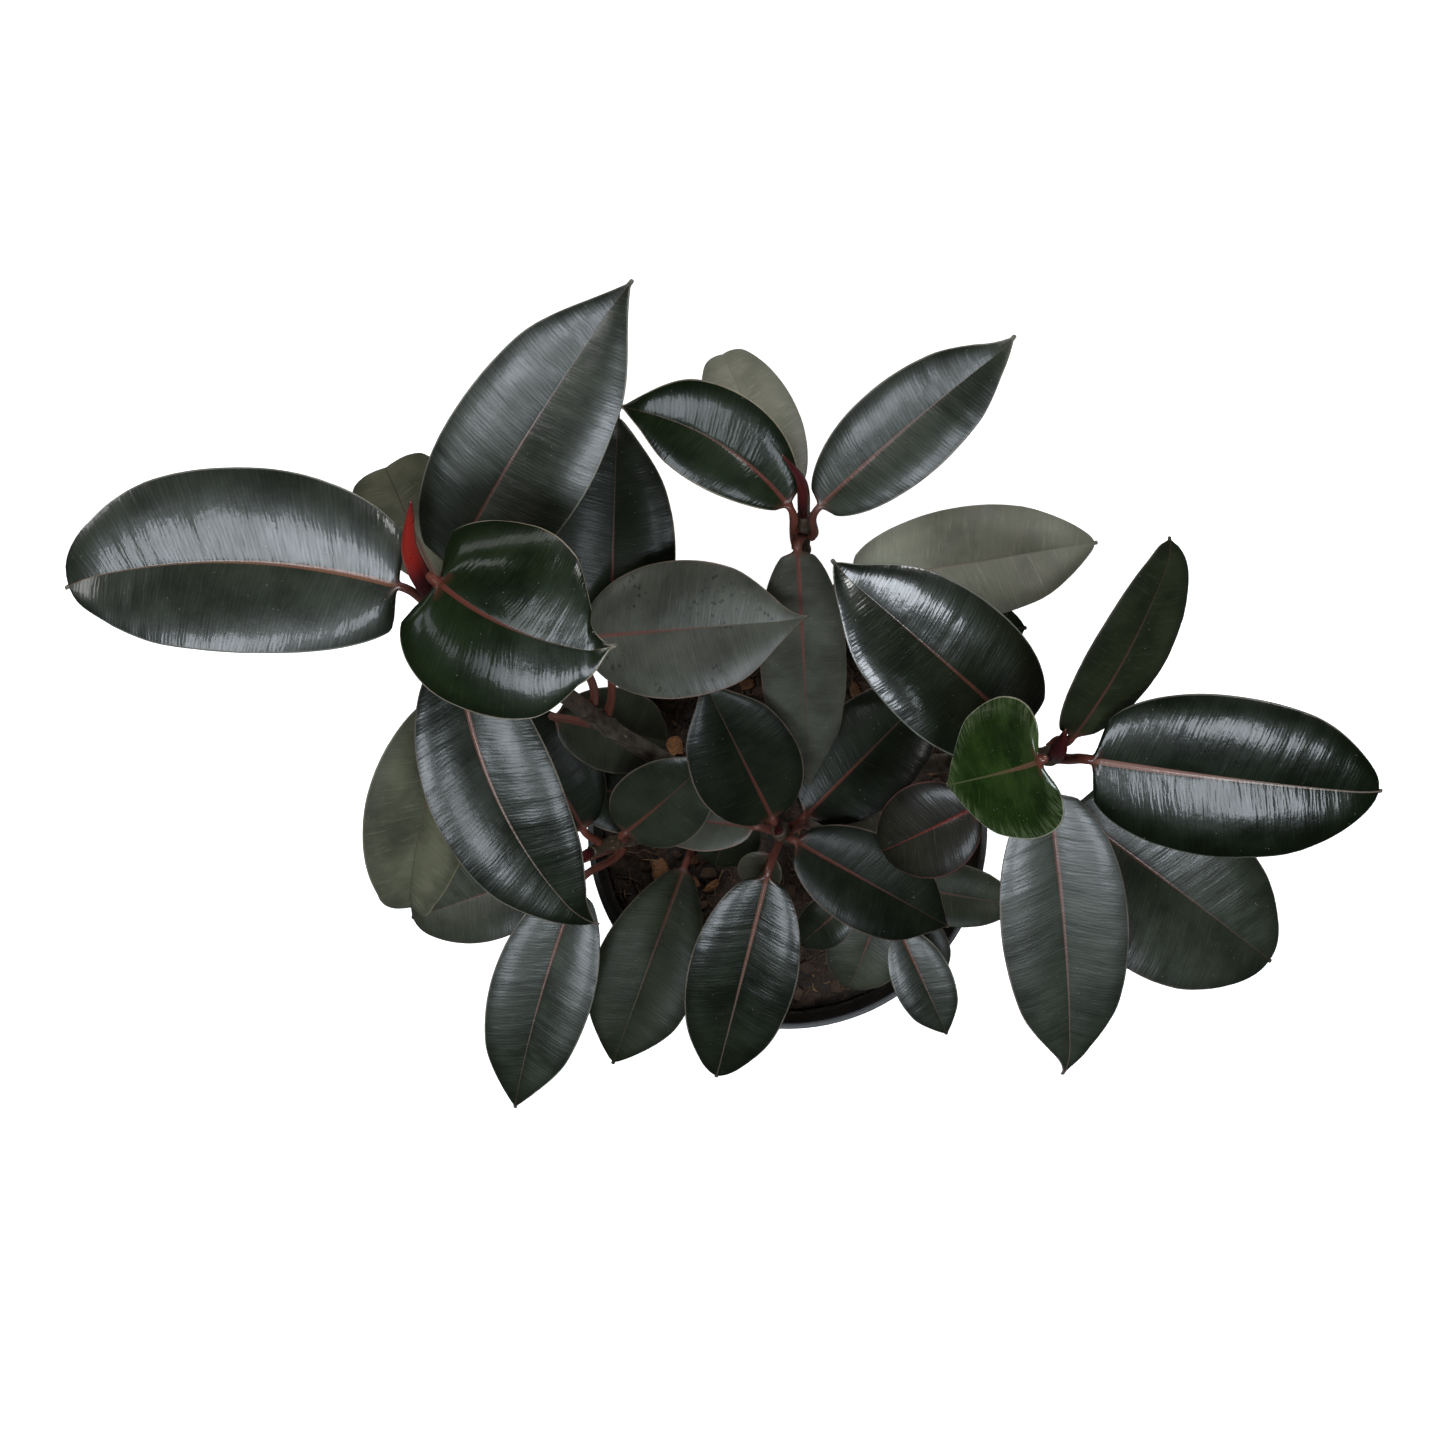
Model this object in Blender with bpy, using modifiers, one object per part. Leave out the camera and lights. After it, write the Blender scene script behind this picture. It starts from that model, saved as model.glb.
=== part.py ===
"""Potted burgundy rubber plant: six canes with forty-one thick leaves in a round grow pot.

Metres, +Z up. The origin is the middle of the pot's underside. +X is right and +Y is up in a view from
above.
"""

import math
from dataclasses import dataclass

import bmesh
import bpy
import numpy as np
from mathutils import Vector, noise

# Pot
POT_HEIGHT = 0.220
POT_TOP_RADIUS = 0.120
POT_BASE_RADIUS = 0.088
POT_WALL = 0.0022
RIM_HEIGHT = 0.014
RIM_OVERHANG = 0.0035
RIM_ROUND = 0.0008
EDGE_BEVEL = 0.001
FOOT_WIDTH = 0.010
PAD_RADIUS = 0.042
FLOOR_RAISE = 0.004
TURN_STEPS = 40
WELD = 0.00001
CUTTER_SIDES = 16
POT_SHARP = 35
SOIL_SHARP = 60
LEAF_SHARP = 50
DRAIN_HOLES = 6
DRAIN_RADIUS = 0.006
DRAIN_CIRCLE = 0.060
NOTCH_WIDTH = 0.012
NOTCH_HEIGHT = 0.0026

# Soil
SOIL_TOP = 0.195
SOIL_RINGS = 9
SOIL_RELIEF = 0.0035
SOIL_GRAIN = 55.0
FINE_GRAIN = 126.0
FINE_SHARE = 0.5
SOIL_EDGE_DROP = 0.004
SOIL_SHOULDER = 0.010

# Canes
ROOT_DEPTH = 0.045
CANE_SAMPLES = 12
CANE_SIDES_LEVEL = 3
GAP = 0.0003

# Leaves
BLADE_THICKNESS = 0.0010
RIB_DEPTH = 0.0016
RIB_HALF_WIDTH = 0.0022
RIB_FADE = 0.8
BLADE_END = 0.965
TAPER_START = 0.70
HOOK_START = 0.88
SECTION_STEPS = (np.arange(12) + 0.5) / 12
LOBE_END = 0.6
LOBE_DROP = 1.2
LOBE_SKEW = 0.5
LOBE_FILL = 0.45
COLLAR_END = 0.035
NECK_PLACES = (0.0, 0.05, 0.9, 1.0)
NECK_HALF_WIDTH = 0.0011
TIP_HALF_WIDTH = 0.0008
SIDE_PHASE = 1.3
BLADE_STATIONS = (0.0, 0.025, 0.08, 0.18, 0.32, 0.47, 0.62, 0.76, 0.87, 0.945, 1.0)
ACROSS = (1.0, 0.55, 0.0, -0.55, -1.0)
PETIOLE_STATIONS = 4
FOOT_SWELL = 1.25


@dataclass(frozen=True)
class Cane:
    """A stem: the points that it passes above the soil, and its radius at both ends."""

    path: tuple
    root_radius: float
    top_radius: float


@dataclass(frozen=True)
class Leaf:
    """One leaf of the cane that its name starts with.

    Foot is the height at which the petiole leaves the cane. Angles are in degrees. Arch and sweep bow the
    midrib up and to the left by a share of the blade's length. Lean widens the left half by a share. Fold
    lifts each half from the midrib, curl bends it down again towards its margin, and relax is the share of
    curl lost at the tip. Taper narrows the last third to a drawn-out tip, and flick is how far the drip tip
    turns to the left. Heart is how far the two lobes of the base reach back past the petiole, the left
    one further than the right one.
    """

    foot: float
    base: tuple
    tip: tuple
    width: float
    peak: float = 0.45
    full: float = 0.56
    taper: float = 0.5
    lean: float = 0.0
    arch: float = 0.05
    sweep: float = 0.0
    fold: float = 17.0
    curl: float = 29.0
    relax: float = 0.0
    roll: float = 0.0
    twist: float = 0.0
    hook: float = 0.004
    flick: float = 0.0
    wave: float = 0.0
    waves: float = 2.0
    petiole: float = 0.0021
    rise: float = 40.0
    heart: float = 0.0


CANES = {
    "left": Cane(
        (
            (-0.033, 0.016, 0.204),
            (-0.046, 0.025, 0.250),
            (-0.078, 0.046, 0.330),
            (-0.105, 0.065, 0.400),
            (-0.178, 0.126, 0.574),
        ),
        0.0062,
        0.0046,
    ),
    "back": Cane(
        ((0.010, 0.032, 0.204), (0.008, 0.060, 0.280), (0.003, 0.125, 0.410), (0.002, 0.169, 0.503)),
        0.0055,
        0.0036,
    ),
    "right": Cane(
        ((0.060, 0.038, 0.204), (0.070, 0.039, 0.260), (0.092, 0.042, 0.360), (0.123, 0.048, 0.548)),
        0.0058,
        0.0044,
    ),
    "middle": Cane(
        ((0.002, -0.006, 0.204), (-0.002, -0.001, 0.280), (-0.008, 0.005, 0.372)),
        0.0050,
        0.0038,
    ),
    "low_left": Cane(
        ((-0.056, -0.004, 0.204), (-0.066, -0.002, 0.235), (-0.100, -0.005, 0.285), (-0.114, -0.010, 0.300)),
        0.0042,
        0.0033,
    ),
    "low_right": Cane(
        ((0.060, -0.024, 0.204), (0.056, -0.028, 0.230), (0.047, -0.034, 0.258)),
        0.0042,
        0.0033,
    ),
}

THIN_PETIOLE = 0.0016

LEAVES = {
    "left_1": Leaf(
        0.556,
        (-0.193, 0.129, 0.578),
        (-0.3543, 0.1303, 0.574),
        0.089,
        peak=0.46,
        full=0.36,
        taper=0.30,
        lean=-0.02,
        arch=0.03,
        sweep=-0.07,
        fold=15,
        curl=27,
        roll=-4,
        flick=0.002,
        heart=0.005,
    ),
    "left_2": Leaf(
        0.505,
        (-0.175, 0.141, 0.515),
        (-0.083, 0.274, 0.580),
        0.077,
        peak=0.41,
        full=0.52,
        taper=0.80,
        lean=-0.05,
        sweep=0.01,
        fold=19,
    ),
    "left_3": Leaf(
        0.566,
        (-0.1714, 0.1293, 0.616),
        (-0.0930, 0.0969, 0.590),
        0.0975,
        peak=0.40,
        full=0.40,
        taper=1.0,
        lean=0.04,
        arch=-0.06,
        sweep=-0.08,
        fold=5,
        curl=72,
        relax=0.8,
        roll=4,
        twist=14,
        hook=-0.006,
        flick=0.005,
        rise=55,
        heart=0.004,
    ),
    "left_4": Leaf(
        0.492,
        (-0.182, 0.134, 0.502),
        (-0.2150, 0.2000, 0.462),
        0.051,
        peak=0.66,
        full=0.34,
        taper=0.0,
        lean=-0.03,
        fold=10,
        hook=0.010,
    ),
    "left_5": Leaf(
        0.500,
        (-0.172, 0.1025, 0.512),
        (-0.1065, -0.043, 0.465),
        0.067,
        taper=0.6,
        sweep=-0.085,
        flick=0.004,
    ),
    "left_6": Leaf(
        0.465,
        (-0.169, 0.080, 0.470),
        (-0.205, -0.038, 0.425),
        0.068,
        full=0.50,
        taper=0.0,
        sweep=-0.045,
        fold=35,
        curl=5,
        hook=0.010,
    ),
    "left_7": Leaf(0.400, (-0.098, 0.099, 0.434), (-0.093, 0.222, 0.470), 0.066),
    "left_8": Leaf(
        0.415,
        (-0.112, 0.108, 0.455),
        (0.003, 0.116, 0.498),
        0.071,
        taper=0.9,
        fold=10,
        flick=0.002,
    ),
    "left_9": Leaf(0.385, (-0.131, 0.067, 0.372), (-0.069, 0.053, 0.300), 0.048),
    "left_10": Leaf(0.248, (-0.069, 0.011, 0.282), (-0.143, 0.040, 0.298), 0.044),
    "back_1": Leaf(
        0.494,
        (-0.006, 0.171, 0.524),
        (-0.089, 0.219, 0.537),
        0.050,
        peak=0.50,
        taper=0.7,
        lean=-0.07,
        arch=0.05,
        sweep=-0.10,
        roll=-8,
        petiole=0.0018,
        rise=65,
    ),
    "back_2": Leaf(
        0.488,
        (0.009, 0.171, 0.520),
        (0.103, 0.249, 0.560),
        0.050,
        taper=0.7,
        sweep=0.014,
        flick=0.002,
        petiole=0.0018,
        rise=65,
    ),
    "back_3": Leaf(
        0.466,
        (-0.0062, 0.1770, 0.498),
        (-0.041, 0.262, 0.440),
        0.046,
        full=0.50,
        taper=0.0,
        fold=10,
        hook=0.010,
        petiole=THIN_PETIOLE,
        rise=70,
    ),
    "back_4": Leaf(
        0.490,
        (-0.0012, 0.1515, 0.500),
        (0.009, 0.027, 0.370),
        0.048,
        taper=0.9,
        arch=0.02,
        fold=10,
        curl=60,
    ),
    "back_5": Leaf(
        0.420,
        (0.028, 0.137, 0.436),
        (0.161, 0.160, 0.420),
        0.060,
        full=0.46,
        taper=0.5,
        fold=8,
        wave=0.10,
    ),
    "back_6": Leaf(0.360, (0.024, 0.112, 0.380), (0.128, 0.116, 0.372), 0.056, full=0.50),
    "right_1": Leaf(
        0.492,
        (0.112, 0.059, 0.508),
        (0.014, 0.140, 0.562),
        0.073,
        peak=0.41,
        full=0.46,
        taper=0.7,
        flick=-0.002,
    ),
    "right_2": Leaf(
        0.533,
        (0.130, 0.057, 0.560),
        (0.1735, 0.149, 0.600),
        0.056,
        full=0.46,
        taper=0.0,
        lean=-0.06,
        fold=10,
        roll=45,
    ),
    "right_3": Leaf(
        0.543,
        (0.109, 0.046, 0.610),
        (0.0675, 0.0330, 0.552),
        0.073,
        peak=0.43,
        full=0.50,
        taper=1.0,
        arch=-0.12,
        sweep=0.02,
        fold=5,
        curl=75,
        relax=0.8,
        rise=65,
    ),
    "right_4": Leaf(
        0.536,
        (0.139, 0.046, 0.562),
        (0.2814, 0.0294, 0.556),
        0.084,
        full=0.38,
        taper=0.4,
        arch=0.03,
        fold=8,
        curl=32,
        roll=20,
        petiole=0.0024,
    ),
    "right_5": Leaf(
        0.500,
        (0.124, 0.030, 0.510),
        (0.143, -0.122, 0.440),
        0.066,
        peak=0.42,
        full=0.58,
        taper=0.9,
        sweep=0.012,
        flick=-0.003,
    ),
    "right_6": Leaf(
        0.460,
        (0.139, 0.020, 0.472),
        (0.252, -0.063, 0.430),
        0.092,
        full=0.48,
        taper=0.3,
        lean=-0.08,
    ),
    "right_7": Leaf(0.410, (0.097, 0.019, 0.408), (0.047, -0.007, 0.377), 0.053, full=0.50, taper=0.2),
    "middle_1": Leaf(0.362, (-0.012, 0.012, 0.392), (-0.049, 0.086, 0.446), 0.060, taper=0.8),
    "middle_2": Leaf(0.347, (0.001, -0.001, 0.370), (0.089, -0.051, 0.336), 0.054, taper=0.9),
    "middle_3": Leaf(0.335, (-0.014, -0.021, 0.345), (-0.043, -0.142, 0.290), 0.062, taper=0.35),
    "middle_4": Leaf(0.336, (0.007, 0.012, 0.350), (0.082, 0.087, 0.335), 0.060),
    "middle_5": Leaf(0.335, (-0.021, 0.006, 0.344), (-0.086, 0.012, 0.305), 0.034),
    "middle_6": Leaf(0.262, (-0.030, 0.018, 0.286), (-0.044, -0.021, 0.258), 0.042),
    "middle_7": Leaf(0.298, (-0.011, -0.011, 0.314), (-0.024, -0.031, 0.296), 0.026, petiole=THIN_PETIOLE),
    "middle_8": Leaf(0.318, (0.008, 0.006, 0.332), (0.054, 0.013, 0.318), 0.032, petiole=THIN_PETIOLE),
    "low_left_1": Leaf(0.297, (-0.118, 0.003, 0.313), (-0.156, 0.076, 0.330), 0.056),
    "low_left_2": Leaf(0.284, (-0.094, 0.002, 0.322), (-0.045, 0.045, 0.374), 0.052, roll=12),
    "low_left_3": Leaf(
        0.280,
        (-0.122, -0.030, 0.305),
        (-0.161, -0.163, 0.262),
        0.060,
        taper=0.7,
        sweep=-0.02,
    ),
    "low_left_4": Leaf(0.272, (-0.135, -0.021, 0.275), (-0.224, -0.052, 0.245), 0.056, taper=0.0),
    "low_left_5": Leaf(0.228, (-0.061, -0.020, 0.268), (-0.104, -0.138, 0.250), 0.062, peak=0.55, taper=0.6),
    "low_right_1": Leaf(0.250, (0.036, -0.040, 0.262), (0.006, -0.068, 0.245), 0.030, petiole=THIN_PETIOLE),
    "low_right_2": Leaf(0.238, (0.053, -0.049, 0.252), (0.036, -0.096, 0.232), 0.046, petiole=THIN_PETIOLE),
    "low_right_3": Leaf(
        0.250,
        (0.064, -0.057, 0.272),
        (0.094, -0.121, 0.250),
        0.035,
        taper=0.8,
        petiole=THIN_PETIOLE,
    ),
    "low_right_4": Leaf(0.226, (0.068, -0.050, 0.240), (0.092, -0.090, 0.230), 0.032, petiole=THIN_PETIOLE),
    "low_right_5": Leaf(0.245, (0.056, -0.030, 0.258), (0.138, -0.044, 0.255), 0.038, petiole=THIN_PETIOLE),
}


@dataclass(frozen=True)
class Sheath:
    """The rolled sheath round the next leaf: where its middle bends to, its tip and its largest radius."""

    bend: tuple
    tip: tuple
    radius: float


SHEATHS = {
    "left": Sheath((-0.1860, 0.145, 0.598), (-0.1830, 0.1665, 0.622), 0.0049),
    "back": Sheath((-0.0002, 0.1825, 0.536), (-0.0101, 0.1933, 0.562), 0.0031),
    "right": Sheath((0.124, 0.053, 0.564), (0.125, 0.061, 0.577), 0.0040),
    "middle": Sheath((-0.009, 0.005, 0.384), (-0.011, 0.003, 0.396), 0.0026),
    "low_left": Sheath((-0.117, -0.012, 0.306), (-0.120, -0.017, 0.314), 0.0030),
}
SHEATH_SAMPLES = 7
SHEATH_SIDES_LEVEL = 2
SHEATH_FOOT_SHARE = 0.8
SHEATH_PLACES = (0.0, 0.25, 0.5, 0.75, 1.0)
SHEATH_SWELL = (0.85, 0.97, 1.0, 0.62, 0.10)


def new_collection(name):
    collection = bpy.data.collections.new(name)
    bpy.context.scene.collection.children.link(collection)
    return collection


def new_material(name, colour, roughness, metallic=0.0):
    material = bpy.data.materials.new(name)
    material.use_nodes = True
    shader = material.node_tree.nodes["Principled BSDF"]
    shader.inputs["Base Color"].default_value = (*colour, 1.0)
    shader.inputs["Roughness"].default_value = roughness
    shader.inputs["Metallic"].default_value = metallic
    material.diffuse_color = (*colour, 1.0)
    return material


def new_object(name, data, collection, material=None):
    obj = bpy.data.objects.new(name, data)
    collection.objects.link(obj)
    if material:
        data.materials.append(material)
    return obj


def shade_smooth(mesh, sharp_above):
    mesh.shade_smooth()
    mesh.set_sharp_from_angle(angle=math.radians(sharp_above))


def turned(name, profile, collection, material=None):
    """A solid of revolution from a profile that runs down its outer side and back up inside."""
    mesh = bpy.data.meshes.new(name)
    edges = [(i, i + 1) for i in range(len(profile) - 1)]
    mesh.from_pydata([(radius, 0.0, z) for radius, z in profile], edges, [])
    obj = new_object(name, mesh, collection, material)
    screw = obj.modifiers.new("Turn", "SCREW")
    screw.steps = TURN_STEPS
    screw.render_steps = TURN_STEPS
    screw.use_merge_vertices = True
    screw.merge_threshold = WELD
    return obj


def tube(name, points, radii, sides_level, collection, material=None):
    """A closed tube along the points, with its own radius at each."""
    curve = bpy.data.curves.new(name, "CURVE")
    curve.dimensions = "3D"
    curve.bevel_depth = radii[0]
    curve.bevel_resolution = sides_level
    curve.use_fill_caps = True
    spline = curve.splines.new("POLY")
    spline.points.add(len(points) - 1)
    for knot, point, radius in zip(spline.points, points, radii):
        knot.co = (*point, 1.0)
        knot.radius = radius / radii[0]
    return new_object(name, curve, collection, material)


def applied_mesh(obj):
    """The object's evaluated shape as a mesh of its own, with the seams of caps and turns welded."""
    bpy.context.view_layer.update()
    graph = bpy.context.evaluated_depsgraph_get()
    mesh = bpy.data.meshes.new_from_object(obj.evaluated_get(graph))
    shape = bmesh.new()
    shape.from_mesh(mesh)
    bmesh.ops.remove_doubles(shape, verts=shape.verts, dist=WELD)
    shape.to_mesh(mesh)
    shape.free()
    return mesh


def cut(obj, cutters):
    """Takes everything in the cutters' collection out of the object."""
    boolean = obj.modifiers.new("Cut", "BOOLEAN")
    boolean.operation = "DIFFERENCE"
    boolean.operand_type = "COLLECTION"
    boolean.collection = cutters
    boolean.solver = "EXACT"


def cylinder_cutter(name, radius, low, high, place, cutters):
    bpy.ops.mesh.primitive_cylinder_add(
        vertices=CUTTER_SIDES,
        radius=radius,
        depth=high - low,
        location=(place[0], place[1], (low + high) / 2),
    )
    return hide_cutter(name, cutters)


def box_cutter(name, size, place, turn, cutters):
    bpy.ops.mesh.primitive_cube_add(size=1.0, location=place, rotation=(0.0, 0.0, turn))
    bpy.context.object.scale = size
    return hide_cutter(name, cutters)


def hide_cutter(name, cutters):
    cutter = bpy.context.object
    cutter.name = name
    for home in list(cutter.users_collection):
        home.objects.unlink(cutter)
    cutters.objects.link(cutter)
    cutter.hide_render = True
    cutter.display_type = "WIRE"
    return cutter


def wall_radius(z):
    """Outer radius of the tapering wall at a height."""
    share = z / (POT_HEIGHT - RIM_HEIGHT)
    return POT_BASE_RADIUS + share * (POT_TOP_RADIUS - RIM_OVERHANG - POT_BASE_RADIUS)


def make_pot(collection, cutters, material):
    """Thin tapering shell with a rolled rim, a foot ring, a raised floor and a flat middle pad."""
    rim_low = POT_HEIGHT - RIM_HEIGHT
    lip = POT_TOP_RADIUS - RIM_OVERHANG - RIM_ROUND / 2
    foot_inner = POT_BASE_RADIUS - FOOT_WIDTH
    floor_top = FLOOR_RAISE + POT_WALL
    pad_inner = PAD_RADIUS - POT_WALL
    profile = [
        (lip, POT_HEIGHT - RIM_ROUND),
        (lip + RIM_ROUND, POT_HEIGHT),
        (POT_TOP_RADIUS - RIM_ROUND, POT_HEIGHT),
        (POT_TOP_RADIUS, POT_HEIGHT - RIM_ROUND),
        (POT_TOP_RADIUS, rim_low + RIM_ROUND),
        (POT_TOP_RADIUS - RIM_ROUND, rim_low),
        (wall_radius(rim_low), rim_low),
        (wall_radius(EDGE_BEVEL), EDGE_BEVEL),
        (POT_BASE_RADIUS - EDGE_BEVEL, 0.0),
        (foot_inner, 0.0),
        (foot_inner - EDGE_BEVEL, FLOOR_RAISE),
        (PAD_RADIUS + EDGE_BEVEL, FLOOR_RAISE),
        (PAD_RADIUS, 0.0),
        (0.0, 0.0),
        (0.0, POT_WALL),
        (pad_inner, POT_WALL),
        (pad_inner + EDGE_BEVEL, floor_top),
        (foot_inner + EDGE_BEVEL, floor_top),
        (foot_inner + POT_WALL, POT_WALL),
        (wall_radius(POT_WALL) - POT_WALL, POT_WALL),
        (wall_radius(rim_low) - POT_WALL, rim_low),
        (lip, POT_HEIGHT - RIM_ROUND),
    ]
    pot = turned("pot", profile, collection, material)
    pot.data = applied_mesh(pot)
    pot.modifiers.clear()
    holes = new_collection("pot_cutters")
    cutters.children.link(holes)
    bpy.context.scene.collection.children.unlink(holes)
    for i in range(DRAIN_HOLES):
        turn = 2 * math.pi * i / DRAIN_HOLES
        at = (DRAIN_CIRCLE * math.cos(turn), DRAIN_CIRCLE * math.sin(turn))
        cylinder_cutter(f"drain_{i}", DRAIN_RADIUS, 0.0, 2 * floor_top, at, holes)
        between = turn + math.pi / DRAIN_HOLES
        middle = POT_BASE_RADIUS - FOOT_WIDTH / 2
        box_cutter(
            f"notch_{i}",
            (2 * FOOT_WIDTH, NOTCH_WIDTH, 2 * NOTCH_HEIGHT),
            (middle * math.cos(between), middle * math.sin(between), 0.0),
            between,
            holes,
        )
    cut(pot, holes)
    shade_smooth(pot.data, POT_SHARP)
    return pot


def soil_height(x, y):
    """Height of the soil at a place: a fixed noise, and a little lower next to the wall."""
    bumps = noise.noise(Vector((x, y, 0.0)) * SOIL_GRAIN)
    fine = noise.noise(Vector((x, y, 0.3)) * FINE_GRAIN)
    edge = (math.hypot(x, y) / wall_radius(SOIL_TOP)) ** 4
    return SOIL_TOP + SOIL_RELIEF * (bumps + FINE_SHARE * fine) - SOIL_EDGE_DROP * edge


def make_soil(collection, cutters, material):
    """The soil fills the pot, with a lumpy top and a plain round hole for each cane."""
    floor_top = FLOOR_RAISE + POT_WALL + GAP
    top_radius = wall_radius(SOIL_TOP - SOIL_SHOULDER) - POT_WALL - GAP
    low_radius = wall_radius(floor_top) - POT_WALL - GAP
    profile = [(top_radius * i / SOIL_RINGS, SOIL_TOP) for i in range(SOIL_RINGS + 1)]
    profile += [(top_radius, SOIL_TOP - SOIL_SHOULDER), (low_radius, floor_top), (0.0, floor_top)]
    soil = turned("soil", profile, collection, material)
    soil.data = applied_mesh(soil)
    soil.modifiers.clear()
    for vertex in soil.data.vertices:
        if vertex.co.z > SOIL_TOP - SOIL_SHOULDER / 2:
            vertex.co.z = soil_height(vertex.co.x, vertex.co.y)
    holes = new_collection("soil_cutters")
    cutters.children.link(holes)
    bpy.context.scene.collection.children.unlink(holes)
    for name, cane in CANES.items():
        root = cane.path[0]
        radius = cane.root_radius + 2 * GAP
        low = SOIL_TOP - ROOT_DEPTH - GAP
        cylinder_cutter(f"hole_{name}", radius, low, POT_HEIGHT, root, holes)
    cut(soil, holes)
    shade_smooth(soil.data, SOIL_SHARP)
    return soil


def smooth_path(points, samples):
    """Points evenly spread in parameter along a Catmull-Rom curve through the given ones."""
    knots = np.array(points, float)
    first = 2 * knots[0] - knots[1]
    first[:2] = knots[0, :2]
    last = 2 * knots[-1] - knots[-2]
    knots = np.vstack([first, knots, last])
    spans = len(points) - 1
    out = []
    for u in np.linspace(0, spans, samples):
        i = min(int(u), spans - 1)
        f = u - i
        a, b, c, d = knots[i : i + 4]
        bend = 2 * a - 5 * b + 4 * c - d
        turn = 3 * b - a - 3 * c + d
        out.append(0.5 * (2 * b + (c - a) * f + bend * f**2 + turn * f**3))
    return np.array(out)


def cane_axis(cane):
    """The cane's middle line from its buried end to its top, and the radius at each point."""
    above = smooth_path(cane.path, CANE_SAMPLES)
    root = above[0]
    buried = np.array([root[0], root[1], SOIL_TOP - ROOT_DEPTH])
    line = np.vstack([buried, above])
    share = np.linspace(0, 1, len(above))
    radii = cane.root_radius + share * (cane.top_radius - cane.root_radius)
    return line, np.concatenate([[cane.root_radius], radii])


def cane_at(cane, height):
    """Point, direction and radius of a cane at a height."""
    line, radii = cane_axis(cane)
    point = np.array([np.interp(height, line[:, 2], line[:, k]) for k in range(3)])
    i = min(max(int(np.searchsorted(line[:, 2], height)), 1), len(line) - 1)
    along = unit(line[i] - line[i - 1])
    return point, along, float(np.interp(height, line[:, 2], radii))


def make_cane(name, cane, collection, material):
    line, radii = cane_axis(cane)
    return tube(f"cane_{name}", line, radii, CANE_SIDES_LEVEL, collection, material)


def make_sheath(name, sheath, collection, material):
    """A slim cone that swells above its foot and bends to a point."""
    line, radii = cane_axis(CANES[name])
    along = unit(line[-1] - line[-2])
    foot = line[-1] + along * GAP
    start = foot + along * sheath.radius / 2
    bent = smooth_path((start, sheath.bend, sheath.tip), SHEATH_SAMPLES)
    share = np.linspace(0, 1, SHEATH_SAMPLES)
    swell = np.interp(share, SHEATH_PLACES, SHEATH_SWELL)
    radii = np.concatenate([[SHEATH_FOOT_SHARE], swell]) * sheath.radius
    return tube(f"sheath_{name}", np.vstack([foot, bent]), radii, SHEATH_SIDES_LEVEL, collection, material)


def unit(vector):
    return vector / np.linalg.norm(vector, axis=-1, keepdims=True)


def outline(leaf, t):
    """Half width of the flattened blade along it, drawn out at both ends to the petiole and the drip tip."""
    power = math.log(0.5) / math.log(leaf.peak)
    inside = np.clip(t / BLADE_END, 0.0, 1.0)
    body = leaf.width / 2 * np.sin(math.pi * inside**power) ** leaf.full
    late = np.clip((t - TAPER_START) / (1 - TAPER_START), 0.0, 1.0)
    body = body * (1 - leaf.taper * late**2)
    neck = np.interp(t, NECK_PLACES, (leaf.petiole, NECK_HALF_WIDTH, NECK_HALF_WIDTH, TIP_HALF_WIDTH))
    return np.sqrt(body**2 + neck**2)


def leaf_axes(leaf):
    """Base, blade length, and the directions along, to the left of and above the blade."""
    base = np.array(leaf.base)
    chord = np.array(leaf.tip) - base
    length = float(np.linalg.norm(chord))
    along = chord / length
    level_left = unit(np.cross((0.0, 0.0, 1.0), along))
    above = np.cross(along, level_left)
    tilt = math.radians(leaf.roll)
    left = math.cos(tilt) * level_left + math.sin(tilt) * above
    return base, length, along, left, np.cross(along, left)


def midrib(leaf, t):
    """Points of the midrib, its direction, and the blade's left and upper directions there."""
    base, length, along, left, above = leaf_axes(leaf)
    t = np.asarray(t, float)[..., None]
    bow = 4 * t * (1 - t)
    slope = 4 * (1 - 2 * t)
    late = np.clip((t - HOOK_START) / (1 - HOOK_START), 0.0, None)
    turn_off = leaf.flick * left - leaf.hook * above
    turn_slope = 2 * late / (1 - HOOK_START)
    bent = leaf.arch * above + leaf.sweep * left
    points = base + length * (t * along + bow * bent) + late**2 * turn_off
    forward = unit(length * (along + slope * bent) + turn_slope * turn_off)
    turn = np.radians(leaf.twist) * (t - 0.5)
    left = np.cos(turn) * left + np.sin(turn) * above
    left = unit(left - forward * np.sum(left * forward, axis=-1, keepdims=True))
    return points, forward, left, np.cross(forward, left)


def blade_surface(leaf, t, s):
    """Middle surface of the blade at shares t along it and s across it, from 1 on the left to -1."""
    points, forward, left, above = midrib(leaf, t)
    s = np.asarray(s, float)[None, :]
    far = np.abs(s)
    half = outline(leaf, t)[:, None]
    fold = math.radians(leaf.fold)
    filled = np.minimum(half / (LOBE_FILL * leaf.width / 2), 1.0)
    half = half * (1 + leaf.lean * np.sign(s))
    bend = math.radians(leaf.curl) * (1 - leaf.relax * t[:, None])
    angle = fold - bend[..., None] * (far[..., None] * SECTION_STEPS) ** 2
    lateral = half * far * np.cos(angle).mean(axis=-1)
    height = half * far * np.sin(angle).mean(axis=-1)
    phase = 2 * math.pi * leaf.waves * t[:, None] + SIDE_PHASE * np.sign(s)
    height = height + leaf.wave * half * far**2 * np.sin(phase)
    lobe = filled * leaf.heart * (1 + LOBE_SKEW * np.sign(s))
    back = lobe * (far * np.clip(1 - t[:, None] / LOBE_END, 0.0, 1.0)) ** 2
    height = height - LOBE_DROP * back
    return (
        points[:, None, :]
        - back[..., None] * forward[:, None, :]
        + (np.sign(s) * lateral)[..., None] * left[:, None, :]
        + height[..., None] * above[:, None, :]
    )


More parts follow.
